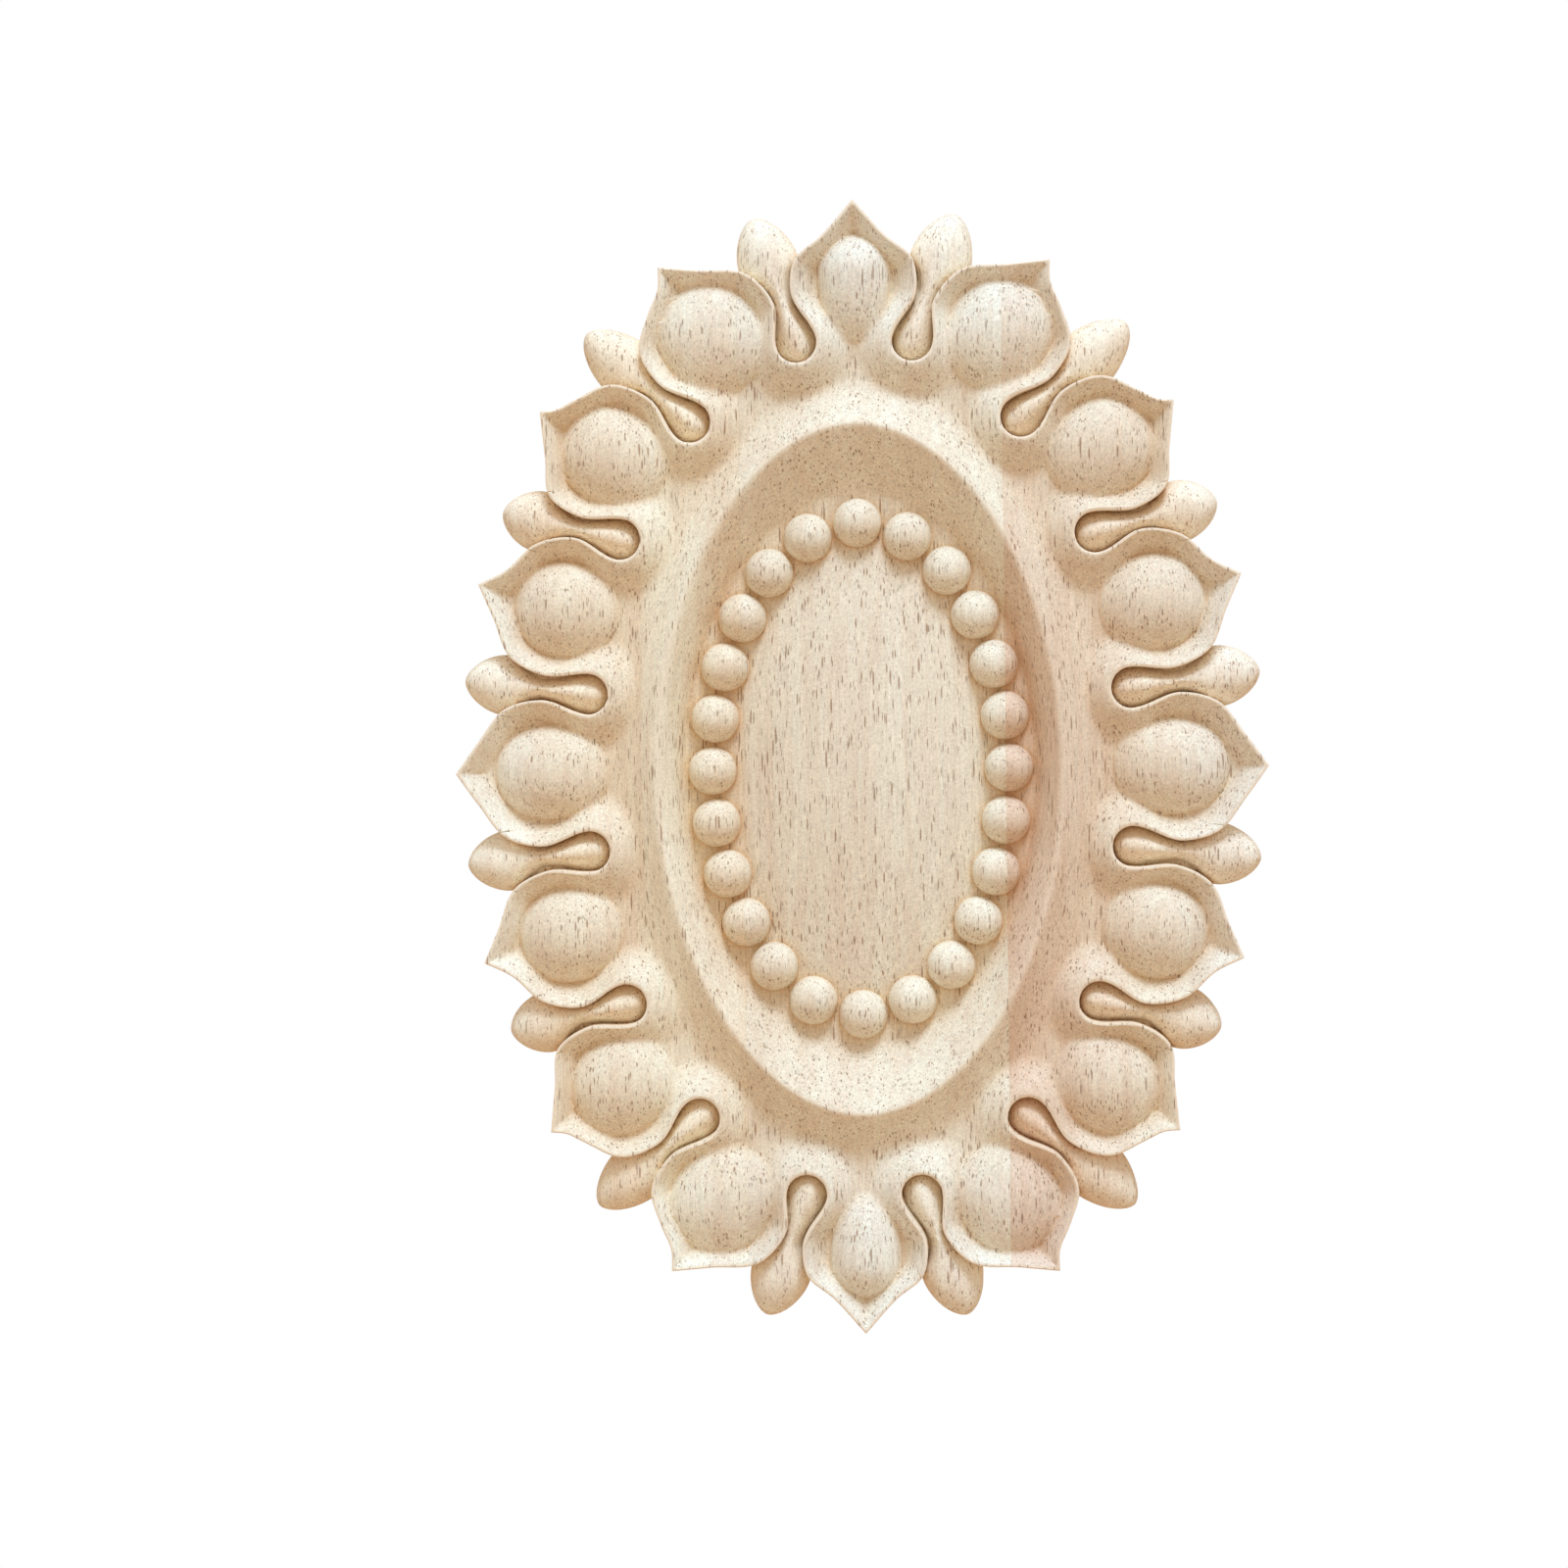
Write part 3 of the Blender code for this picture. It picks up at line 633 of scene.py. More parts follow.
# %% [markdown]
# ## The blank
#
# The blank is the closed board before it is raised: every point still lies in the plane of the back, and
# carries two numbers, the layer it belongs to and the height that it was given. Where a petal's lip
# meets a lower bud there are two points in the same place, one for each layer, and the faces between
# them become the slot's upright wall when the layers part. The same trick makes the outer sides, from
# the lip or the bud down to the back.

# %% The blank, which keeps one vertex for each place and layer
BACK, BUD, PETAL = 0, 1, 2


class Blank:
    """The points of the blank with their layers and heights, and its faces."""

    def __init__(self):
        self.points = []
        self.layers = []
        self.heights = []
        self.faces = []
        self.index = {}

    def vertex(self, point, layer):
        key = (int(point), layer)
        if key not in self.index:
            self.index[key] = len(self.points)
            self.points.append(plan_points[point])
            self.layers.append(layer)
            self.heights.append((0.0, bud_heights[point], petal_heights[point])[layer])
        return self.index[key]

    def fan(self, corners):
        for b, c in zip(corners[1:], corners[2:]):
            self.faces.append((corners[0], b, c))


blank = Blank()
print("layers: back", BACK, "bud", BUD, "petal", PETAL)


# %% The blank's carved face, and its walls folded flat
def build_top(blank):
    """The carved face. Returns which layer owns each directed edge."""
    owner = {}
    for triangle, petal, bud in zip(triangles, is_petal, is_bud):
        if petal or bud:
            layer = PETAL if petal else BUD
            blank.faces.append(tuple(blank.vertex(i, layer) for i in triangle))
            for a, b in zip(triangle, np.roll(triangle, -1)):
                owner[int(a), int(b)] = layer
    return owner


def build_walls(blank, owner):
    """Walls from the lips down to the buds and to the back. Returns the outline as a chain."""
    rim = {}
    for (a, b), layer in owner.items():
        other = owner.get((b, a))
        if layer == PETAL and other == BUD:
            top = [blank.index[b, PETAL], blank.index[a, PETAL]]
            blank.fan(top + [blank.index[a, BUD], blank.index[b, BUD]])
        elif other is None:
            rim[a] = b
    for a, b in rim.items():
        layer = owner[a, b]
        low_a, low_b = blank.vertex(a, BACK), blank.vertex(b, BACK)
        top_a, top_b = blank.index[a, layer], blank.index[b, layer]
        if layer == PETAL and (b, BUD) in blank.index:
            blank.fan([top_a, low_a, low_b, blank.index[b, BUD], top_b])
        elif layer == PETAL and (a, BUD) in blank.index:
            blank.fan([top_b, top_a, blank.index[a, BUD], low_a, low_b])
        else:
            blank.fan([top_b, top_a, low_a, low_b])
    return rim


rim = build_walls(blank, build_top(blank))
print("the outline has", len(rim), "edges")


# %% The blank's flat back
def build_back(blank, rim):
    outline = [next(iter(rim))]
    while rim[outline[-1]] != outline[0]:
        outline.append(rim[outline[-1]])
    edge = [Vector((float(plan_points[i][0]), float(plan_points[i][1]))) for i in outline]
    runs = [(i, (i + 1) % len(edge)) for i in range(len(edge))]
    _, _, back, came_from, _, _ = delaunay_2d_cdt(edge, runs, [list(range(len(edge)))], 1, JOIN_WITHIN)
    for triangle in back:
        blank.faces.append(tuple(blank.index[outline[came_from[i][0]], BACK] for i in reversed(triangle)))


build_back(blank, rim)
print("blank:", len(blank.points), "points,", len(blank.faces), "triangles")

# %% The blank as a mesh, with its two numbers as attributes
blank_mesh = bpy.data.meshes.new("carving_blank")
blank_mesh.from_pydata([(x * MM, 0.0, z * MM) for x, z in blank.points], [], blank.faces)
for name, values in (("layer", blank.layers), ("cut_height", np.array(blank.heights) * MM)):
    attribute = blank_mesh.attributes.new(name, "FLOAT", "POINT")
    attribute.data.foreach_set("value", np.array(values, np.float32))
carving = add_object("carving", blank_mesh)
print("attributes:", [a.name for a in blank_mesh.attributes if not a.name.startswith(".")])

# %% [markdown]
# ## Raising the blank with a node tree
#
# The oval moulding in the middle follows a rule: its height depends only on how far out a place lies,
# measured with the ovals. That is work for Geometry Nodes, where every size is a named input that can be
# turned while watching. The tree reads the two numbers from the blank, works out the cove that climbs to
# the crest, the dish inside it and the domed field, and moves each point towards the viewer by the
# height of its layer. At the sides of the oval the crest is rounder and the dish's wall is straighter.
# The math is long in nodes, so a small helper adds one Math node at a time.


# %% Helpers that add nodes to a tree
def new_tree(name, inputs, outputs, kind="GeometryNodeTree"):
    """A node tree with named sockets, each given as its name, its type and its default or None."""
    tree = bpy.data.node_groups.new(name, kind)
    for sockets, direction in ((inputs, "INPUT"), (outputs, "OUTPUT")):
        for label, socket_type, default in sockets:
            socket = tree.interface.new_socket(label, in_out=direction, socket_type=socket_type)
            if default is not None:
                socket.default_value = default
    return tree, tree.nodes.new("NodeGroupInput").outputs, tree.nodes.new("NodeGroupOutput").inputs


def plug(tree, value, socket):
    """A link into a socket, or a plain value on it."""
    if isinstance(value, bpy.types.NodeSocket):
        tree.links.new(value, socket)
    else:
        socket.default_value = value


def add(tree, kind, inputs=(), **settings):
    """One node with its settings, and with a link or a value in each input that is given."""
    node = tree.nodes.new(kind)
    for name, value in settings.items():
        setattr(node, name, value)
    for socket, value in dict(inputs).items():
        plug(tree, value, node.inputs[socket])
    return node


def calc(tree, operation, *values, clamp=False):
    """One Math node."""
    inputs = dict(enumerate(values))
    return add(tree, "ShaderNodeMath", inputs, operation=operation, use_clamp=clamp).outputs[0]


def between(tree, low, high, share):
    """The value that lies a share of the way from low to high."""
    return calc(tree, "MULTIPLY_ADD", calc(tree, "SUBTRACT", high, low), share, low)


def smooth_share(tree, value, low, high):
    """How far a value has gone from low to high, eased at both ends."""
    inputs = {"Value": value, "From Min": low, "From Max": high}
    return add(tree, "ShaderNodeMapRange", inputs, interpolation_type="SMOOTHSTEP").outputs["Result"]


def split(tree, place):
    """The x, y and z of a place."""
    return add(tree, "ShaderNodeSeparateXYZ", {0: place}).outputs

# %% A node group that measures how far out a place lies on an oval
OVAL_DEFAULTS = {"Half Width": 0.05, "Half Height": 0.09, "Fullness": 2.0}


def oval_radius_group():
    inputs = [(name, "NodeSocketFloat", value) for name, value in OVAL_DEFAULTS.items()]
    tree, given, result = new_tree("oval_radius", inputs, [("Radius", "NodeSocketFloat", None)])
    place = split(tree, add(tree, "GeometryNodeInputPosition").outputs[0])
    shares = []
    for axis, size in (("X", "Half Width"), ("Z", "Half Height")):
        share = calc(tree, "DIVIDE", calc(tree, "ABSOLUTE", place[axis]), given[size])
        shares.append(calc(tree, "POWER", share, given["Fullness"]))
    radius = calc(tree, "POWER", calc(tree, "ADD", *shares), calc(tree, "DIVIDE", 1.0, given["Fullness"]))
    plug(tree, radius, result["Radius"])
    return tree


oval_group = oval_radius_group()
print("group", oval_group.name, "has", len(oval_group.nodes), "nodes")

# %% Heights of the moulding, in millimetres
CREST_HEIGHT = 20.0
CREST_ROUND = 2.4
SIDE_ROUND = 6.5
COVE_HOLLOW = 1.35
BED_HEIGHT = 10.0
DISH_HOLLOW = 1.3
SIDE_HOLLOW = 1.0
FIELD_HEIGHT = 10.7
FIELD_RISE = 5.6
FIELD_SHOULDER = 0.12
COVE_JOIN = 2.0

OVALS = {"Crest": CREST, "Valley": VALLEY, "Dish Foot": DISH_FOOT, "Field": FIELD_EDGE}
moulding_sizes = {
    "Crest Height": CREST_HEIGHT * MM,
    "Valley Height": VALLEY_HEIGHT * MM,
    "Bed Height": BED_HEIGHT * MM,
    "Field Height": FIELD_HEIGHT * MM,
    "Field Rise": FIELD_RISE * MM,
    "Cove Join": COVE_JOIN * MM,
    "Crest Round": CREST_ROUND * MM,
    "Side Round": SIDE_ROUND * MM,
    "Cove Hollow": COVE_HOLLOW,
    "Dish Hollow": DISH_HOLLOW,
    "Side Hollow": SIDE_HOLLOW,
    "Field Shoulder": FIELD_SHOULDER,
}
for name, (half_width, half_height, fullness) in OVALS.items():
    moulding_sizes[name + " Half Width"] = half_width * MM
    moulding_sizes[name + " Half Height"] = half_height * MM
    moulding_sizes[name + " Fullness"] = fullness
print(len(moulding_sizes), "named sizes for the moulding")

# %% The moulding's heights in nodes
# A smooth minimum takes this share of its rounding off the corner.
ROUNDED_OFF = 1 / 6


def moulding(tree, given, radius):
    """Two heights: the cove and the dish with their rounded crest, and the same with the field in it."""
    place = split(tree, add(tree, "GeometryNodeInputPosition").outputs[0])
    sideways = calc(tree, "DIVIDE", place["X"], given["Crest Half Width"])
    sideways = calc(tree, "MULTIPLY", sideways, sideways, clamp=True)
    rounding = between(tree, given["Crest Round"], given["Side Round"], sideways)
    meeting = calc(tree, "MULTIPLY_ADD", rounding, ROUNDED_OFF, given["Crest Height"])
    up_cove = calc(tree, "DIVIDE", calc(tree, "SUBTRACT", 1.0, radius["Valley"]),
                   calc(tree, "SUBTRACT", radius["Crest"], radius["Valley"]))
    climb = calc(tree, "POWER", calc(tree, "MAXIMUM", up_cove, 0.0), given["Cove Hollow"])
    cove = between(tree, given["Valley Height"], meeting, climb)
    up_dish = calc(tree, "DIVIDE", calc(tree, "SUBTRACT", radius["Dish Foot"], 1.0),
                   calc(tree, "SUBTRACT", radius["Dish Foot"], radius["Crest"]))
    hollow = between(tree, given["Dish Hollow"], given["Side Hollow"], sideways)
    slope = calc(tree, "POWER", calc(tree, "MAXIMUM", up_dish, 0.0), hollow)
    dish = between(tree, given["Bed Height"], meeting, slope)
    ring = calc(tree, "SMOOTH_MIN", cove, dish, rounding)
    dome = calc(tree, "SUBTRACT", 1.0, calc(tree, "POWER", radius["Field"], 2.0))
    field = calc(tree, "MULTIPLY_ADD", dome, given["Field Rise"], given["Field Height"])
    edge = calc(tree, "ADD", 1.0, given["Field Shoulder"])
    on_field = smooth_share(tree, radius["Field"], edge, 1.0)
    return ring, between(tree, ring, field, on_field)


print("the crest's corner is drawn", round(CREST_ROUND * ROUNDED_OFF, 1), "mm high, to be rounded off")


# %% The tree that raises the blank
def raising_tree():
    geometry = [("Geometry", "NodeSocketGeometry", None)]
    sizes = [(name, "NodeSocketFloat", value) for name, value in moulding_sizes.items()]
    tree, given, result = new_tree("raise_carving", geometry + sizes, geometry)
    radius = {}
    for name in OVALS:
        own = {size: given[f"{name} {size}"] for size in OVAL_DEFAULTS}
        radius[name] = add(tree, "GeometryNodeGroup", own, node_tree=oval_group).outputs["Radius"]
    stored = {}
    for name in ("layer", "cut_height"):
        node = add(tree, "GeometryNodeInputNamedAttribute", {"Name": name}, data_type="FLOAT")
        stored[name] = node.outputs["Attribute"]

    ring, inside = moulding(tree, given, radius)
    outside = calc(tree, "SMOOTH_MAX", stored["cut_height"], ring, given["Cove Join"])
    beyond_crest = calc(tree, "GREATER_THAN", radius["Crest"], 1.0)
    moulded = between(tree, inside, outside, beyond_crest)
    is_face = calc(tree, "GREATER_THAN", stored["layer"], PETAL - 0.5)
    height = between(tree, stored["cut_height"], moulded, is_face)
    offset = add(tree, "ShaderNodeCombineXYZ", {"Y": calc(tree, "MULTIPLY", height, -1.0)}).outputs[0]
    move = add(tree, "GeometryNodeSetPosition", {"Geometry": given["Geometry"], "Offset": offset})
    plug(tree, move.outputs["Geometry"], result["Geometry"])
    return tree


raise_carving = raising_tree()
print("tree", raise_carving.name, "has", len(raise_carving.nodes), "nodes")


# %% Run a tree on an object and keep the result as a plain mesh
def settle(thing, modifier):
    """Evaluate a modifier once and leave its result on the object as a plain mesh."""
    evaluated = thing.evaluated_get(bpy.context.evaluated_depsgraph_get())
    mesh = bpy.data.meshes.new_from_object(evaluated)
    thing.modifiers.remove(modifier)
    thing.data = mesh


def apply_tree(thing, tree, sizes):
    """Set the tree's named inputs and settle it."""
    modifier = thing.modifiers.new(tree.name, "NODES")
    modifier.node_group = tree
    for socket in tree.interface.items_tree:
        if socket.in_out == "INPUT" and socket.name in sizes:
            modifier[socket.identifier] = sizes[socket.name]
    settle(thing, modifier)


def mesh_points(mesh):
    flat = np.empty(len(mesh.vertices) * 3, np.float32)
    mesh.vertices.foreach_get("co", flat)
    return flat.reshape(-1, 3)


apply_tree(carving, raise_carving, moulding_sizes)
print("raised to", round(float(-mesh_points(carving.data)[:, 1].min() / MM), 2), "mm")

# %% [markdown]
# ## The wood: a board of three staves
#
# Rubberwood is pale and even, so what makes it look like wood is small. Staves of slightly different
# colour meet along two glue lines, and the right one deepens towards its seam and lower down. Bands and
# fine fibres run up the board, and short dark vessels are cut open everywhere. All of it fills the board
# in depth. Where the surface runs along the grain a vessel is a dash of 2 to 4 mm, and where a boss or a
# cup slopes across the grain the same vessel is a dot. A solid texture in the object's own coordinates
# does that by itself, which a picture wrapped on the surface never could. The carved face and the sawn
# back share the effects, so each effect is a node group, built once and placed in both materials with its
# own values. Sizes inside are in millimetres.


# %% Helpers that add shader nodes
def title(name):
    return name.replace("_", " ").title()


def floats(**sizes):
    """Float sockets from names and defaults, with spaces for underscores."""
    return [(title(name), MASK, value) for name, value in sizes.items()]


def put_out(tree, result, **values):
    """Values into the outputs of a group, with spaces for underscores."""
    for name, value in values.items():
        plug(tree, value, result[title(name)])


def vector_calc(tree, operation, *values):
    """One Vector Math node."""
    inputs = dict(enumerate(values))
    return add(tree, "ShaderNodeVectorMath", inputs, operation=operation).outputs[0]


def scaled(tree, vector, amount):
    """A place or a colour times a number."""
    inputs = {0: vector, "Scale": amount}
    return add(tree, "ShaderNodeVectorMath", inputs, operation="SCALE").outputs[0]


def stretched(tree, place, *sizes):
    """A place measured in the sizes of a pattern along x, y and z."""
    size = add(tree, "ShaderNodeCombineXYZ", dict(enumerate(sizes)))
    return vector_calc(tree, "DIVIDE", place, size.outputs[0])


def noise(tree, place, detail):
    inputs = {"Vector": place, "Scale": 1.0, "Detail": detail}
    return add(tree, "ShaderNodeTexNoise", inputs).outputs["Fac"]


def about_one(tree, pattern, swing, base=1.0):
    """A pattern of middle value a half, turned into a number that swings about the base."""
    return calc(tree, "MULTIPLY_ADD", calc(tree, "SUBTRACT", pattern, 0.5), swing, base)


def place_group(tree, group, place, **values):
    """A node group placed in a material with its own values. Returns its outputs."""
    inputs = {title(name): value for name, value in values.items()}
    return add(tree, "ShaderNodeGroup", {"Place": place, **inputs}, node_tree=group).outputs


PLACE = [("Place", "NodeSocketVector", None)]
MASK = "NodeSocketFloat"

# %% Node group: the staves and their glue lines
SEAMS = {"Left Seam": -31.0, "Right Seam": 38.8}
STAVE_SHIFT = (17.0, 41.0, 113.0)


def staves_group():
    """Which stave a place is in, the thin glue lines, and a place of its own for each stave's figure."""
    inputs = PLACE + [(name, MASK, at) for name, at in SEAMS.items()] + floats(glue_width=0.2)
    outputs = [("Stave", MASK, None), ("Glue Line", MASK, None), ("Own Place", "NodeSocketVector", None)]
    tree, given, result = new_tree("staves", inputs, outputs, "ShaderNodeTree")
    across = split(tree, given["Place"])["X"]
    number, line = 0.0, 0.0
    for name in SEAMS:
        past = calc(tree, "SUBTRACT", across, given[name])
        number = calc(tree, "ADD", calc(tree, "GREATER_THAN", past, 0.0), number)
        near = smooth_share(tree, calc(tree, "ABSOLUTE", past), given["Glue Width"], 0.0)
        line = calc(tree, "MAXIMUM", near, line)
    own_place = vector_calc(tree, "MULTIPLY_ADD", number, STAVE_SHIFT, given["Place"])
    put_out(tree, result, stave=number, glue_line=line, own_place=own_place)
    return tree


staves = staves_group()
print("group", staves.name, "with seams at", list(SEAMS.values()), "mm")

# %% Node group: bands, fibres and mottle
WANDER_WIDTH = 40.0
PATTERNS = {"Band": (2.0, (0.32, 0.68)), "Streak": (1.0, (0.3, 0.7)), "Fibre": (1.0, None)}


def figure_group():
    """Bands, streaks and fine fibres along the grain, and a mottle with no direction."""
    sizes = floats(band_width=9.0, band_length=180.0, streak_width=1.7, streak_length=90.0)
    sizes += floats(fibre_width=0.35, fibre_length=14.0, mottle_size=0.6, wander=1.6, wander_length=70.0)
    outputs = [(name, MASK, None) for name in ("Bands", "Streaks", "Fibres", "Mottle")]
    tree, given, result = new_tree("wood_figure", PLACE + sizes, outputs, "ShaderNodeTree")
    wandering = stretched(tree, given["Place"], WANDER_WIDTH, WANDER_WIDTH, given["Wander Length"])
    drift = calc(tree, "SUBTRACT", noise(tree, wandering, 0.0), 0.5)
    aside = add(tree, "ShaderNodeCombineXYZ", {"X": calc(tree, "MULTIPLY", drift, given["Wander"])})
    place = vector_calc(tree, "ADD", given["Place"], aside.outputs[0])
    for name, (detail, run) in PATTERNS.items():
        width = given[name + " Width"]
        pattern = noise(tree, stretched(tree, place, width, width, given[name + " Length"]), detail)
        if run:
            pattern = smooth_share(tree, pattern, *run)
        plug(tree, pattern, result[name + "s"])
    put_out(tree, result, mottle=noise(tree, stretched(tree, place, *[given["Mottle Size"]] * 3), 1.0))
    return tree


figure = figure_group()
print("group", figure.name, "has", len(figure.nodes), "nodes")

# %% Node group: the vessels
CROWD_SIZE = (5.0, 5.0, 60.0)
MORE_SMALL_ONES = 1.3
DARK_CORE = 0.55


def vessels_group():
    """Short tubes of many sizes along the grain, as a mask that is 1 where the surface cuts one open."""
    sizes = floats(spacing=0.75, length=8.0, radius=0.38, crowding=1.1)
    tree, given, result = new_tree("vessels", PLACE + sizes, [("Vessels", MASK, None)], "ShaderNodeTree")
    place = stretched(tree, given["Place"], given["Spacing"], given["Spacing"], given["Length"])
    cell = add(tree, "ShaderNodeTexVoronoi", {"Scale": 1.0, "Vector": place})
    crowd = noise(tree, stretched(tree, given["Place"], *CROWD_SIZE), 1.0)
    crowd = about_one(tree, crowd, given["Crowding"])
    chance = add(tree, "ShaderNodeSeparateColor", {0: cell.outputs["Color"]})
    own_size = calc(tree, "POWER", chance.outputs["Red"], MORE_SMALL_ONES)
    radius = calc(tree, "MULTIPLY", calc(tree, "MULTIPLY", crowd, own_size), given["Radius"])
    inner = calc(tree, "MULTIPLY", radius, DARK_CORE)
    put_out(tree, result, vessels=smooth_share(tree, cell.outputs["Distance"], radius, inner))
    return tree


vessels = vessels_group()
print("group", vessels.name, "has", len(vessels.nodes), "nodes")


# %% Helpers for materials
def new_material(name):
    material = bpy.data.materials.new(name)
    material.use_nodes = True
    return material, material.node_tree


def colour_mix(tree, share, first, second, blend="MIX"):
    """One colour mixed with another, or multiplied by it, by a share."""
    inputs = {"Factor": share, "A": first, "B": second}
    for name in ("A", "B"):
        if not isinstance(inputs[name], bpy.types.NodeSocket):
            inputs[name] = (*inputs[name], 1.0)
    return add(tree, "ShaderNodeMix", inputs, data_type="RGBA", blend_type=blend).outputs["Result"]


def attribute(tree, name):
    return add(tree, "ShaderNodeAttribute", attribute_name=name).outputs["Fac"]


# %% [markdown]
# ## The tones of the wood
#
# A glued-up board isn't even, so a few wide tints lie over the figure: a tan strip left of the middle, a
# pale one by the crest at the left, and paler wood towards the outer sides and the two ends. A tint is
# given as its axis, its middle, the distances at which it begins and is full, and its tone.

# %% Tones of the wood, linear red, green and blue
PALE = (0.905, 0.855, 0.69)
TAN = (0.83, 0.71, 0.545)
LEFT_STAVE = (1.0, 0.96, 0.915)
RIGHT_STAVE_PALE = (0.98, 0.95, 0.93)
RIGHT_STAVE_DEEP = (0.91, 0.78, 0.73)
RIGHT_DEEPENS = {"Z": (100.0, 20.0), "X": (76.0, 42.0)}
TINTS = [
    ("X", -20.0, (20.0, 4.0), (0.975, 0.955, 0.935)),
    ("X", -49.0, (12.0, 5.0), (1.04, 1.09, 1.12)),
    ("X", 0.0, (78.0, 98.0), (1.03, 1.10, 1.20)),
    ("Z", 0.0, (88.0, 135.0), (1.01, 1.06, 1.14)),
]
VESSEL_TONE = (0.49, 0.35, 0.27)
# Painted shade: multiplied into the wood where it lies lower than what is round it.
HOLLOW_PAINTED_SHADE = (0.88, 0.70, 0.50)
# Painted highlight: a paler, warmer line mixed onto the lips and, faintly, the crest.
PAINTED_HIGHLIGHT_TONE = (0.96, 0.81, 0.61)
PAINTED_HIGHLIGHT_STRENGTH = 0.7
# Painted light: the buds made a shade paler, against the shadows that the petals cast on them.
BUD_PAINTED_LIGHT = (1.09, 1.075, 1.055)
GLUE_TONE = (0.88, 0.80, 0.70)
SMALL_VESSELS = {"spacing": 0.45, "length": 5.0, "radius": 0.36}
SMALL_DEPTH = 0.9
ROUGHNESS_SWING = 0.12
SHINE = 0.28
print(len(TINTS), "wide tints over three staves")


# %% The bare wood, shared by the face and the back
def bare_wood(tree, bands=0.5, streaks=0.5, fibres=0.20, mottle=0.26, vessel_depth=0.85, glue=0.5):
    """The colour of the wood before the carving's own tones, and the masks that made it."""
    place = scaled(tree, add(tree, "ShaderNodeTexCoord").outputs["Object"], 1 / MM)
    stave = place_group(tree, staves, place)
    lines = place_group(tree, figure, stave["Own Place"])
    large = place_group(tree, vessels, stave["Own Place"])["Vessels"]
    small = place_group(tree, vessels, stave["Own Place"], **SMALL_VESSELS)["Vessels"]
    pores = calc(tree, "MAXIMUM", large, calc(tree, "MULTIPLY", small, SMALL_DEPTH))
    tan = calc(tree, "MULTIPLY_ADD", lines["Bands"], bands, calc(tree, "MULTIPLY", lines["Streaks"], streaks))
    colour = colour_mix(tree, tan, PALE, TAN)

    board = split(tree, place)
    deep = [smooth_share(tree, board[axis], *run) for axis, run in RIGHT_DEEPENS.items()]
    right_stave = colour_mix(tree, calc(tree, "MULTIPLY", *deep), RIGHT_STAVE_PALE, RIGHT_STAVE_DEEP)
    on_left = calc(tree, "LESS_THAN", stave["Stave"], 0.5)
    on_right = calc(tree, "GREATER_THAN", stave["Stave"], 1.5)
    colour = colour_mix(tree, on_left, colour, LEFT_STAVE, "MULTIPLY")
    colour = colour_mix(tree, on_right, colour, right_stave, "MULTIPLY")
    for axis, middle, run, tint in TINTS:
        away = calc(tree, "ABSOLUTE", calc(tree, "SUBTRACT", board[axis], middle))
        colour = colour_mix(tree, smooth_share(tree, away, *run), colour, tint, "MULTIPLY")
    light = about_one(tree, lines["Fibres"], 2 * fibres)
    light = about_one(tree, lines["Mottle"], 2 * mottle, light)
    glued = calc(tree, "MULTIPLY", stave["Glue Line"], glue)
    return {
        "place": place,
        "board": board,
        "colour": colour_mix(tree, glued, scaled(tree, colour, light), GLUE_TONE, "MULTIPLY"),
        "pores": calc(tree, "MULTIPLY", pores, vessel_depth),
        "fibres": lines["Fibres"],
        "mottle": lines["Mottle"],
    }


def waves(tree, along, spacing):
    """Rows at an even spacing, as a number between -1 and 1."""
    return calc(tree, "SINE", calc(tree, "MULTIPLY", along, 2 * math.pi / spacing))


def finish_wood(tree, wood, colour, height, depth, roughness):
    """Colour, relief and roughness into the material's shader."""
    shader = tree.nodes["Principled BSDF"]
    bump = add(tree, "ShaderNodeBump", {"Strength": 1.0, "Distance": depth * MM, "Height": height})
    pored = colour_mix(tree, wood["pores"], colour, VESSEL_TONE, "MULTIPLY")
    rough = calc(tree, "MULTIPLY_ADD", wood["mottle"], ROUGHNESS_SWING, roughness - ROUGHNESS_SWING / 2)
    plug(tree, pored, shader.inputs["Base Color"])
    plug(tree, rough, shader.inputs["Roughness"])
    plug(tree, bump.outputs["Normal"], shader.inputs["Normal"])
    shader.inputs["Specular IOR Level"].default_value = SHINE


# %% The carved face
TOOL_ROW = 0.42
TOOL_ROW_DEPTH = 0.05
FACE_FIBRE_DEPTH = 0.35
FACE_BUMP = 0.14
FACE_ROUGHNESS = 0.58


def carved_face():
    """Bare sanded wood with painted shade in the hollows, a painted highlight on the lips and the rim,
    painted light on the buds, and faint rows from the cutter.
    """
    material, tree = new_material("carved_face")
    wood = bare_wood(tree)
    # A painted highlight on the lips and the crest.
    painted_highlight = calc(tree, "MULTIPLY", attribute(tree, "painted_highlight"), PAINTED_HIGHLIGHT_STRENGTH)
    # Painted shade in the hollows.
    colour = colour_mix(tree, attribute(tree, "hollow"), wood["colour"], HOLLOW_PAINTED_SHADE, "MULTIPLY")
    # Painted light on the buds.
    colour = colour_mix(tree, attribute(tree, "bud"), colour, BUD_PAINTED_LIGHT, "MULTIPLY")
    colour = colour_mix(tree, painted_highlight, colour, PAINTED_HIGHLIGHT_TONE)
    height = calc(tree, "MULTIPLY_ADD", wood["fibres"], FACE_FIBRE_DEPTH,
                  calc(tree, "MULTIPLY", wood["pores"], -1.0))
    rows = waves(tree, wood["board"]["Y"], TOOL_ROW)
    height = calc(tree, "MULTIPLY_ADD", rows, TOOL_ROW_DEPTH, height)
    finish_wood(tree, wood, colour, height, FACE_BUMP, FACE_ROUGHNESS)
    return material


# %% The sawn back
SAW_ROW = 1.7
SAW_ROW_DEPTH = 0.3
SAW_ROW_TONE = (0.02, 0.93)
SAW_SWAY = 6.0
SAW_SWAY_SIZE = 60.0
BACK_BUMP = 0.22
BACK_ROUGHNESS = 0.72


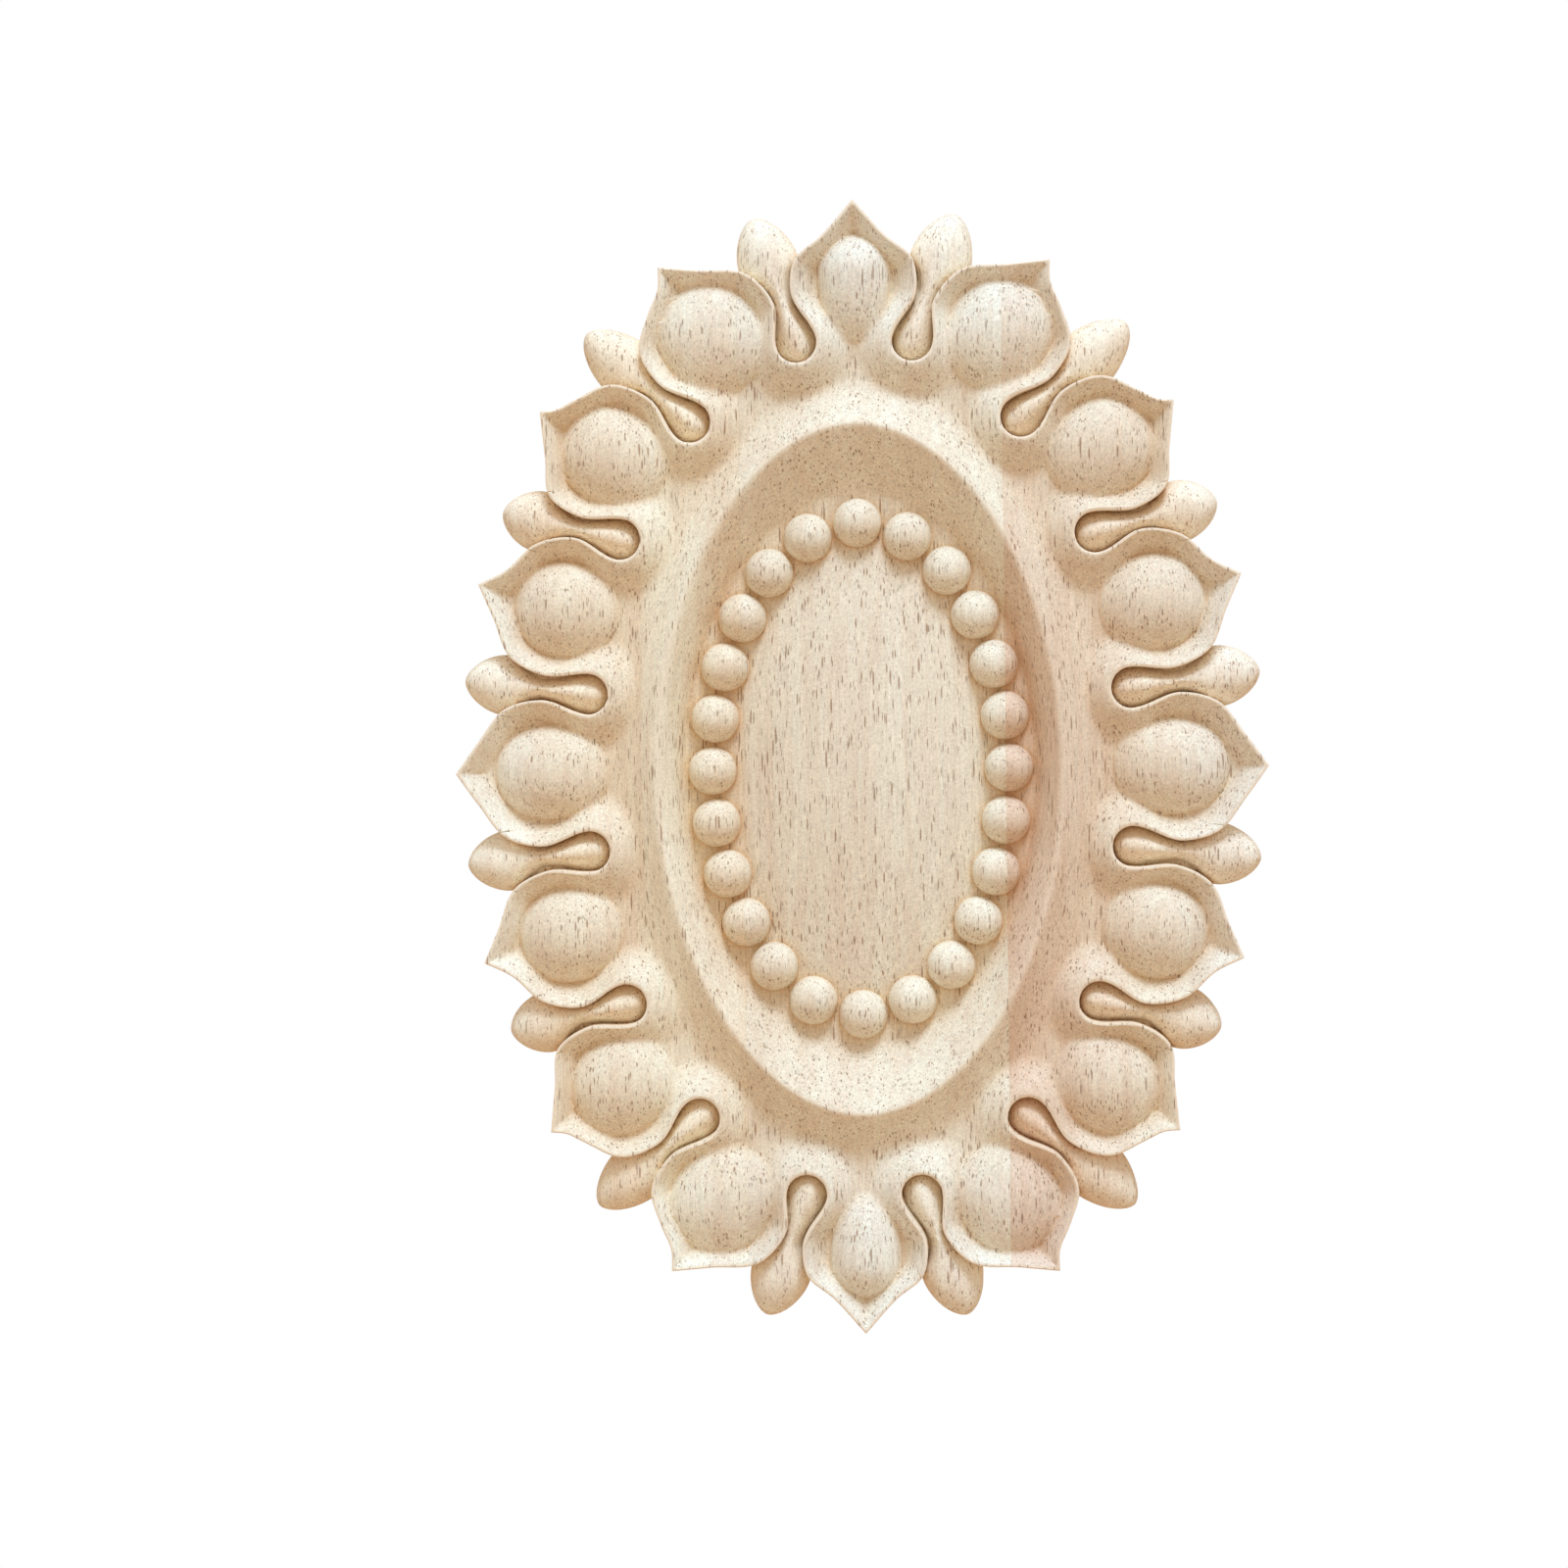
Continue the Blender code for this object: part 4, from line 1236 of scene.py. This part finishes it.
def sawn_back():
    """The back as the band saw left it: duller, with fine rows across the grain."""
    material, tree = new_material("sawn_back")
    wood = bare_wood(tree, fibres=0.16, mottle=0.16, vessel_depth=0.6, glue=0.8)
    sway = noise(tree, stretched(tree, wood["place"], *[SAW_SWAY_SIZE] * 3), 0.0)
    rows = waves(tree, calc(tree, "MULTIPLY_ADD", sway, SAW_SWAY, wood["board"]["Z"]), SAW_ROW)
    colour = scaled(tree, wood["colour"], calc(tree, "MULTIPLY_ADD", rows, *SAW_ROW_TONE))
    height = calc(tree, "MULTIPLY_ADD", rows, SAW_ROW_DEPTH,
                  calc(tree, "SUBTRACT", wood["fibres"], wood["pores"]))
    finish_wood(tree, wood, colour, height, BACK_BUMP, BACK_ROUGHNESS)
    return material


face_wood = carved_face()
back_wood = sawn_back()
print("materials:", face_wood.name, "and", back_wood.name)

# %% [markdown]
# ## The ring of beads
#
# Twenty-four round beads follow an oval at equal distances. They could be modelled by hand, but equal
# steps along an oval aren't equal angles, so a curve does it better: Resample Curve puts one point to
# each bead, and Instance on Points sets a ball on each. The balls' centres lie at the height of the bed,
# so half of each ball stands out of it. The tree ends in Realize Instances, because an instance isn't a
# mesh of its own yet, and in Set Material. The onlay is one piece of wood, so a Boolean union then joins
# the balls and the carving into one closed body.

# %% The tree for the ring of beads
BEAD_COUNT = 24
BEAD_RADIUS = 6.55
BEAD_SEGMENTS = 40
BEAD_RINGS = 20
CIRCLE_POINTS = 720
UPRIGHT = (math.pi / 2, 0.0, 0.0)
bead_sizes = {
    "Half Width": BEAD_RING[0] * MM,
    "Half Height": BEAD_RING[1] * MM,
    "Bed Height": BED_HEIGHT * MM,
    "Bead Radius": BEAD_RADIUS * MM,
    "Bead Count": BEAD_COUNT,
}


def bead_tree(material):
    inputs = [(name, "NodeSocketInt" if name == "Bead Count" else "NodeSocketFloat", value)
              for name, value in bead_sizes.items()]
    tree, given, result = new_tree("bead_ring", inputs, [("Geometry", "NodeSocketGeometry", None)])
    circle = add(tree, "GeometryNodeCurvePrimitiveCircle", {"Resolution": CIRCLE_POINTS, "Radius": 1.0})
    stretch = add(tree, "ShaderNodeCombineXYZ", {"X": given["Half Width"], "Y": given["Half Height"]})
    forward = add(tree, "ShaderNodeCombineXYZ", {"Y": calc(tree, "MULTIPLY", given["Bed Height"], -1.0)})
    stand = add(tree, "GeometryNodeTransform", {
        "Geometry": circle.outputs["Curve"],
        "Translation": forward.outputs[0],
        "Rotation": UPRIGHT,
        "Scale": stretch.outputs[0],
    })
    spacing = {"Curve": stand.outputs["Geometry"], "Count": given["Bead Count"]}
    places = add(tree, "GeometryNodeResampleCurve", spacing).outputs["Curve"]
    roundness = {"Segments": BEAD_SEGMENTS, "Rings": BEAD_RINGS, "Radius": given["Bead Radius"]}
    ball = add(tree, "GeometryNodeMeshUVSphere", roundness).outputs["Mesh"]
    inputs = {"Points": places, "Instance": ball, "Rotation": UPRIGHT}
    instances = add(tree, "GeometryNodeInstanceOnPoints", inputs).outputs["Instances"]
    real = add(tree, "GeometryNodeRealizeInstances", {"Geometry": instances}).outputs["Geometry"]
    finish = add(tree, "GeometryNodeSetMaterial", {"Geometry": real, "Material": material})
    plug(tree, finish.outputs["Geometry"], result["Geometry"])
    return tree


# %% Make the beads and join them to the carving
beads = add_object("beads", bpy.data.meshes.new("beads"))
apply_tree(beads, bead_tree(face_wood), bead_sizes)
carving.data.materials.append(face_wood)
carving.data.materials.append(back_wood)
union = carving.modifiers.new("join_beads", "BOOLEAN")
union.operation = "UNION"
union.solver = "MANIFOLD"
union.object = beads
settle(carving, union)
bpy.data.objects.remove(beads, do_unlink=True)
print("one body of", len(carving.data.polygons), "faces")

# %% [markdown]
# ## Hollows, lips and buds
#
# Three painted tones follow the carving's form. Painted shade makes the wood browner in the grooves,
# the cups and the cove, where shade falls. A painted highlight makes it paler along the thin lips, and a
# little along the rim, and painted light makes the buds a shade paler against the petals' shadows on them.
# A material can't know the form, so three numbers are stored at each point of the finished mesh. A
# hollow is a place that lies lower than what is round it: the carving is probed with a grid of needles,
# the heights are blurred, and each point's own height is taken off. A narrow blur finds the grooves, and
# a wide one finds the cups and the cove. The lips and the buds are known from the drawing and from the
# height.

# %% Probe the carving with needles
PROBE_STEP = 1.0
PROBE_REACH = (112.0, 154.0)
PROBE_FROM = -0.05


def probe(mesh):
    """Heights over a grid of the plan, rows upwards, with nothing where no wood is met."""
    faces = [tuple(face.vertices) for face in mesh.polygons]
    wood_tree = BVHTree.FromPolygons(mesh_points(mesh).tolist(), faces)
    across, upward = (np.arange(-reach, reach + PROBE_STEP, PROBE_STEP) for reach in PROBE_REACH)
    found = np.zeros((len(upward), len(across)))
    for j, z in enumerate(upward):
        for i, x in enumerate(across):
            hit = wood_tree.ray_cast((x * MM, PROBE_FROM, z * MM), (0, 1, 0))[0]
            if hit is not None:
                found[j, i] = -hit.y / MM
    return found


probed = probe(carving.data)
print(probed.size, "needles,", int((probed > 0).sum()), "met wood")

# %% How much lower each point lies than what is round it
# Painted shade: each point's depth below the blurred heights round it, from a narrow and a wide blur.
SHADE_BLURS = [
    {"spread": 1.3, "full_depth": 2.6, "on_petals": 1.0, "elsewhere": 0.3},
    {"spread": 7.0, "full_depth": 6.0, "on_petals": 0.45, "elsewhere": 0.0},
]
BLUR_REACH = 3
BACK_PAINTED_SHADE = 0.15
ON_THE_BACK = 0.01


def blurred(grid, spread):
    """A grid of heights blurred by this many steps, over the wood alone."""
    reach = np.arange(-int(BLUR_REACH * spread), int(BLUR_REACH * spread) + 1)
    weights = np.exp(-0.5 * (reach / spread) ** 2)
    smooth = []
    for layer in (grid, (grid > 0).astype(float)):
        for axis in (0, 1):
            layer = np.apply_along_axis(np.convolve, axis, layer, weights, mode="same")
        smooth.append(layer)
    return smooth[0] / np.maximum(smooth[1], NEARLY_NOTHING)


def look_up(grid, points):
    """The grid's value at each point of the plan, straight between its nearest four."""
    column = np.clip((points[:, 0] + PROBE_REACH[0]) / PROBE_STEP, 0, grid.shape[1] - 1.001)
    row = np.clip((points[:, 1] + PROBE_REACH[1]) / PROBE_STEP, 0, grid.shape[0] - 1.001)
    i, j = column.astype(int), row.astype(int)
    u, v = column - i, row - j
    lower = grid[j, i] * (1 - u) + grid[j, i + 1] * u
    upper = grid[j + 1, i] * (1 - u) + grid[j + 1, i + 1] * u
    return lower * (1 - v) + upper * v


spots = mesh_points(carving.data) / MM
in_plan, own_height = spots[:, [0, 2]], -spots[:, 1]
on_petals = lip.inside(in_plan)
hollow = np.zeros(len(spots))
for blur in SHADE_BLURS:
    lower = look_up(blurred(probed, blur["spread"]), in_plan) - own_height
    weight = np.where(on_petals, blur["on_petals"], blur["elsewhere"])
    hollow += weight * np.clip(lower / blur["full_depth"], 0, 1)
# The back's points get a little painted shade too, so the outer walls darken towards the back.
hollow[own_height < ON_THE_BACK] = BACK_PAINTED_SHADE
print("hollow is", round(float(hollow.mean()), 3), "on average and", round(float(hollow.max()), 2), "at most")

# %% Which points are on a lip, on the crest or on a bud
# Where the painted highlight lies: on the lips and, less, on the crest.
CREST_LINE = 0.02
CREST_SHARE = 0.4
CREST_DEPTH = 1.0
LIP_LINE = (0.55, LIP_WIDTH + 0.2)
LIP_DEPTH = 0.5

near_crest = np.abs(oval_radius(in_plan, CREST) - 1)
on_crest = (1 - smooth_step(near_crest, 0, CREST_LINE)) * (own_height > CREST_HEIGHT - CREST_DEPTH)
on_lip = np.zeros(len(spots))
high = own_height > LIP_HEIGHT - LIP_DEPTH
on_lip[high] = 1 - smooth_step(lip.distance(in_plan[high]), *LIP_LINE)
painted_highlight = np.maximum(CREST_SHARE * on_crest, on_lip)
# Points on the buds, which get painted light.
on_bud = ~on_petals & (own_height < LIP_HEIGHT - LIP_DEPTH)
for name, values in (("hollow", hollow), ("painted_highlight", painted_highlight), ("bud", on_bud)):
    stored = carving.data.attributes.new(name, "FLOAT", "POINT")
    stored.data.foreach_set("value", values.astype(np.float32))
for name in ("layer", "cut_height"):
    if name in carving.data.attributes:
        carving.data.attributes.remove(carving.data.attributes[name])
print(int((painted_highlight > 0.5).sum()), "points on the lips and the crest")

# %% The back's material, smooth shading, and its place in the frame
FACES_BACK = 0.99
SHARP_ANGLE = math.radians(40)

for face in carving.data.polygons:
    if face.normal.y > FACES_BACK:
        face.material_index = 1
carving.data.shade_smooth()
carving.data.set_sharp_from_angle(angle=SHARP_ANGLE)

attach(carving, "root")
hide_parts("carved_applique")
print("the carving has", len(carving.data.vertices), "points")

# %% [markdown]
# ## The floor and the light
#
# The onlay is shown upright on a plain white ground. A curved sweep, floor below and wall behind, has no
# corner that would show as a line. Its white is a glow that only the camera sees. To the wood it is a
# wall in a warm tan paint, so the ground stays plain white and still throws only a little warm light
# back. Relief lives by its shadows: one square soft lamp stands high up, a little to the right and 28
# degrees off the board, and the room fills the rest, dim and warm below and brighter above. The lamp is
# cooler than the room, so the hollows look warm and the tops fresh.

# %% The sweep
SWEEP_FLOOR = -0.5
SWEEP_WALL = 1.3
SWEEP_FRONT = -2.6
SWEEP_HALF_WIDTH = 3.0
SWEEP_TOP = 3.0
SWEEP_BEND = 0.6
SWEEP_BEND_ROWS = 17
SWEEP_PAINT = (0.62, 0.42, 0.26)


def sweep_profile():
    """Points from the front edge of the floor, round the bend and up the wall, as (y, z)."""
    profile = [(SWEEP_FRONT, SWEEP_FLOOR)]
    for turn in np.linspace(-math.pi / 2, 0, SWEEP_BEND_ROWS):
        y = SWEEP_WALL - SWEEP_BEND + SWEEP_BEND * math.cos(turn)
        profile.append((y, SWEEP_FLOOR + SWEEP_BEND * (1 + math.sin(turn))))
    return profile + [(SWEEP_WALL, SWEEP_TOP)]


def sweep_material():
    """Tan paint for the light, and a white glow for the camera."""
    material, tree = new_material("white_sweep")
    paint = tree.nodes["Principled BSDF"]
    paint.inputs["Base Color"].default_value = (*SWEEP_PAINT, 1.0)
    paint.inputs["Roughness"].default_value = 1.0
    seen = add(tree, "ShaderNodeLightPath").outputs["Is Camera Ray"]
    glow = add(tree, "ShaderNodeEmission").outputs["Emission"]
    choose = add(tree, "ShaderNodeMixShader", {"Fac": seen, 1: paint.outputs["BSDF"], 2: glow})
    plug(tree, choose.outputs["Shader"], tree.nodes["Material Output"].inputs["Surface"])
    return material


profile = sweep_profile()
sweep_mesh = bpy.data.meshes.new("sweep")
sweep_mesh.from_pydata(
    [(side * SWEEP_HALF_WIDTH, y, z) for y, z in profile for side in (-1, 1)], [],
    [(2 * i, 2 * i + 1, 2 * i + 3, 2 * i + 2) for i in range(len(profile) - 1)])
sweep_mesh.materials.append(sweep_material())
sweep_mesh.shade_smooth()
sweep = add_object("sweep", sweep_mesh)
print("sweep of", len(profile), "rows behind and under the onlay")

# %% The room's light and the lamp
ROOM_BELOW = (0.27, 0.205, 0.14)
ROOM_ABOVE = (0.84, 0.80, 0.76)
LAMP_COLOUR = (0.61, 0.78, 1.0)
LAMP_POWER = 101.0
LAMP_SIZE = 1.05
LAMP_DISTANCE = 3.5
LAMP_OFF_THE_BOARD = math.radians(28)
LAMP_TO_THE_RIGHT = math.radians(10)

world = bpy.data.worlds.new("studio")
bpy.context.scene.world = world
world.use_nodes = True
room = world.node_tree
direction = split(room, add(room, "ShaderNodeTexCoord").outputs["Generated"])
upward = calc(room, "MULTIPLY_ADD", direction["Z"], 0.5, 0.5)
plug(room, colour_mix(room, upward, ROOM_BELOW, ROOM_ABOVE), room.nodes["Background"].inputs["Color"])

lamp_light = bpy.data.lights.new("lamp", "AREA")
lamp_light.size = LAMP_SIZE
lamp_light.energy = LAMP_POWER
lamp_light.color = LAMP_COLOUR
lamp = add_object("lamp", lamp_light)
towards_lamp = Vector((
    math.cos(LAMP_OFF_THE_BOARD) * math.sin(LAMP_TO_THE_RIGHT),
    -math.sin(LAMP_OFF_THE_BOARD),
    math.cos(LAMP_OFF_THE_BOARD) * math.cos(LAMP_TO_THE_RIGHT),
))
lamp.location = towards_lamp * LAMP_DISTANCE
lamp.rotation_euler = towards_lamp.to_track_quat("Z", "Y").to_euler()
bpy.context.scene.view_settings.view_transform = "Standard"
print("lamp at", [round(value, 2) for value in lamp.location])
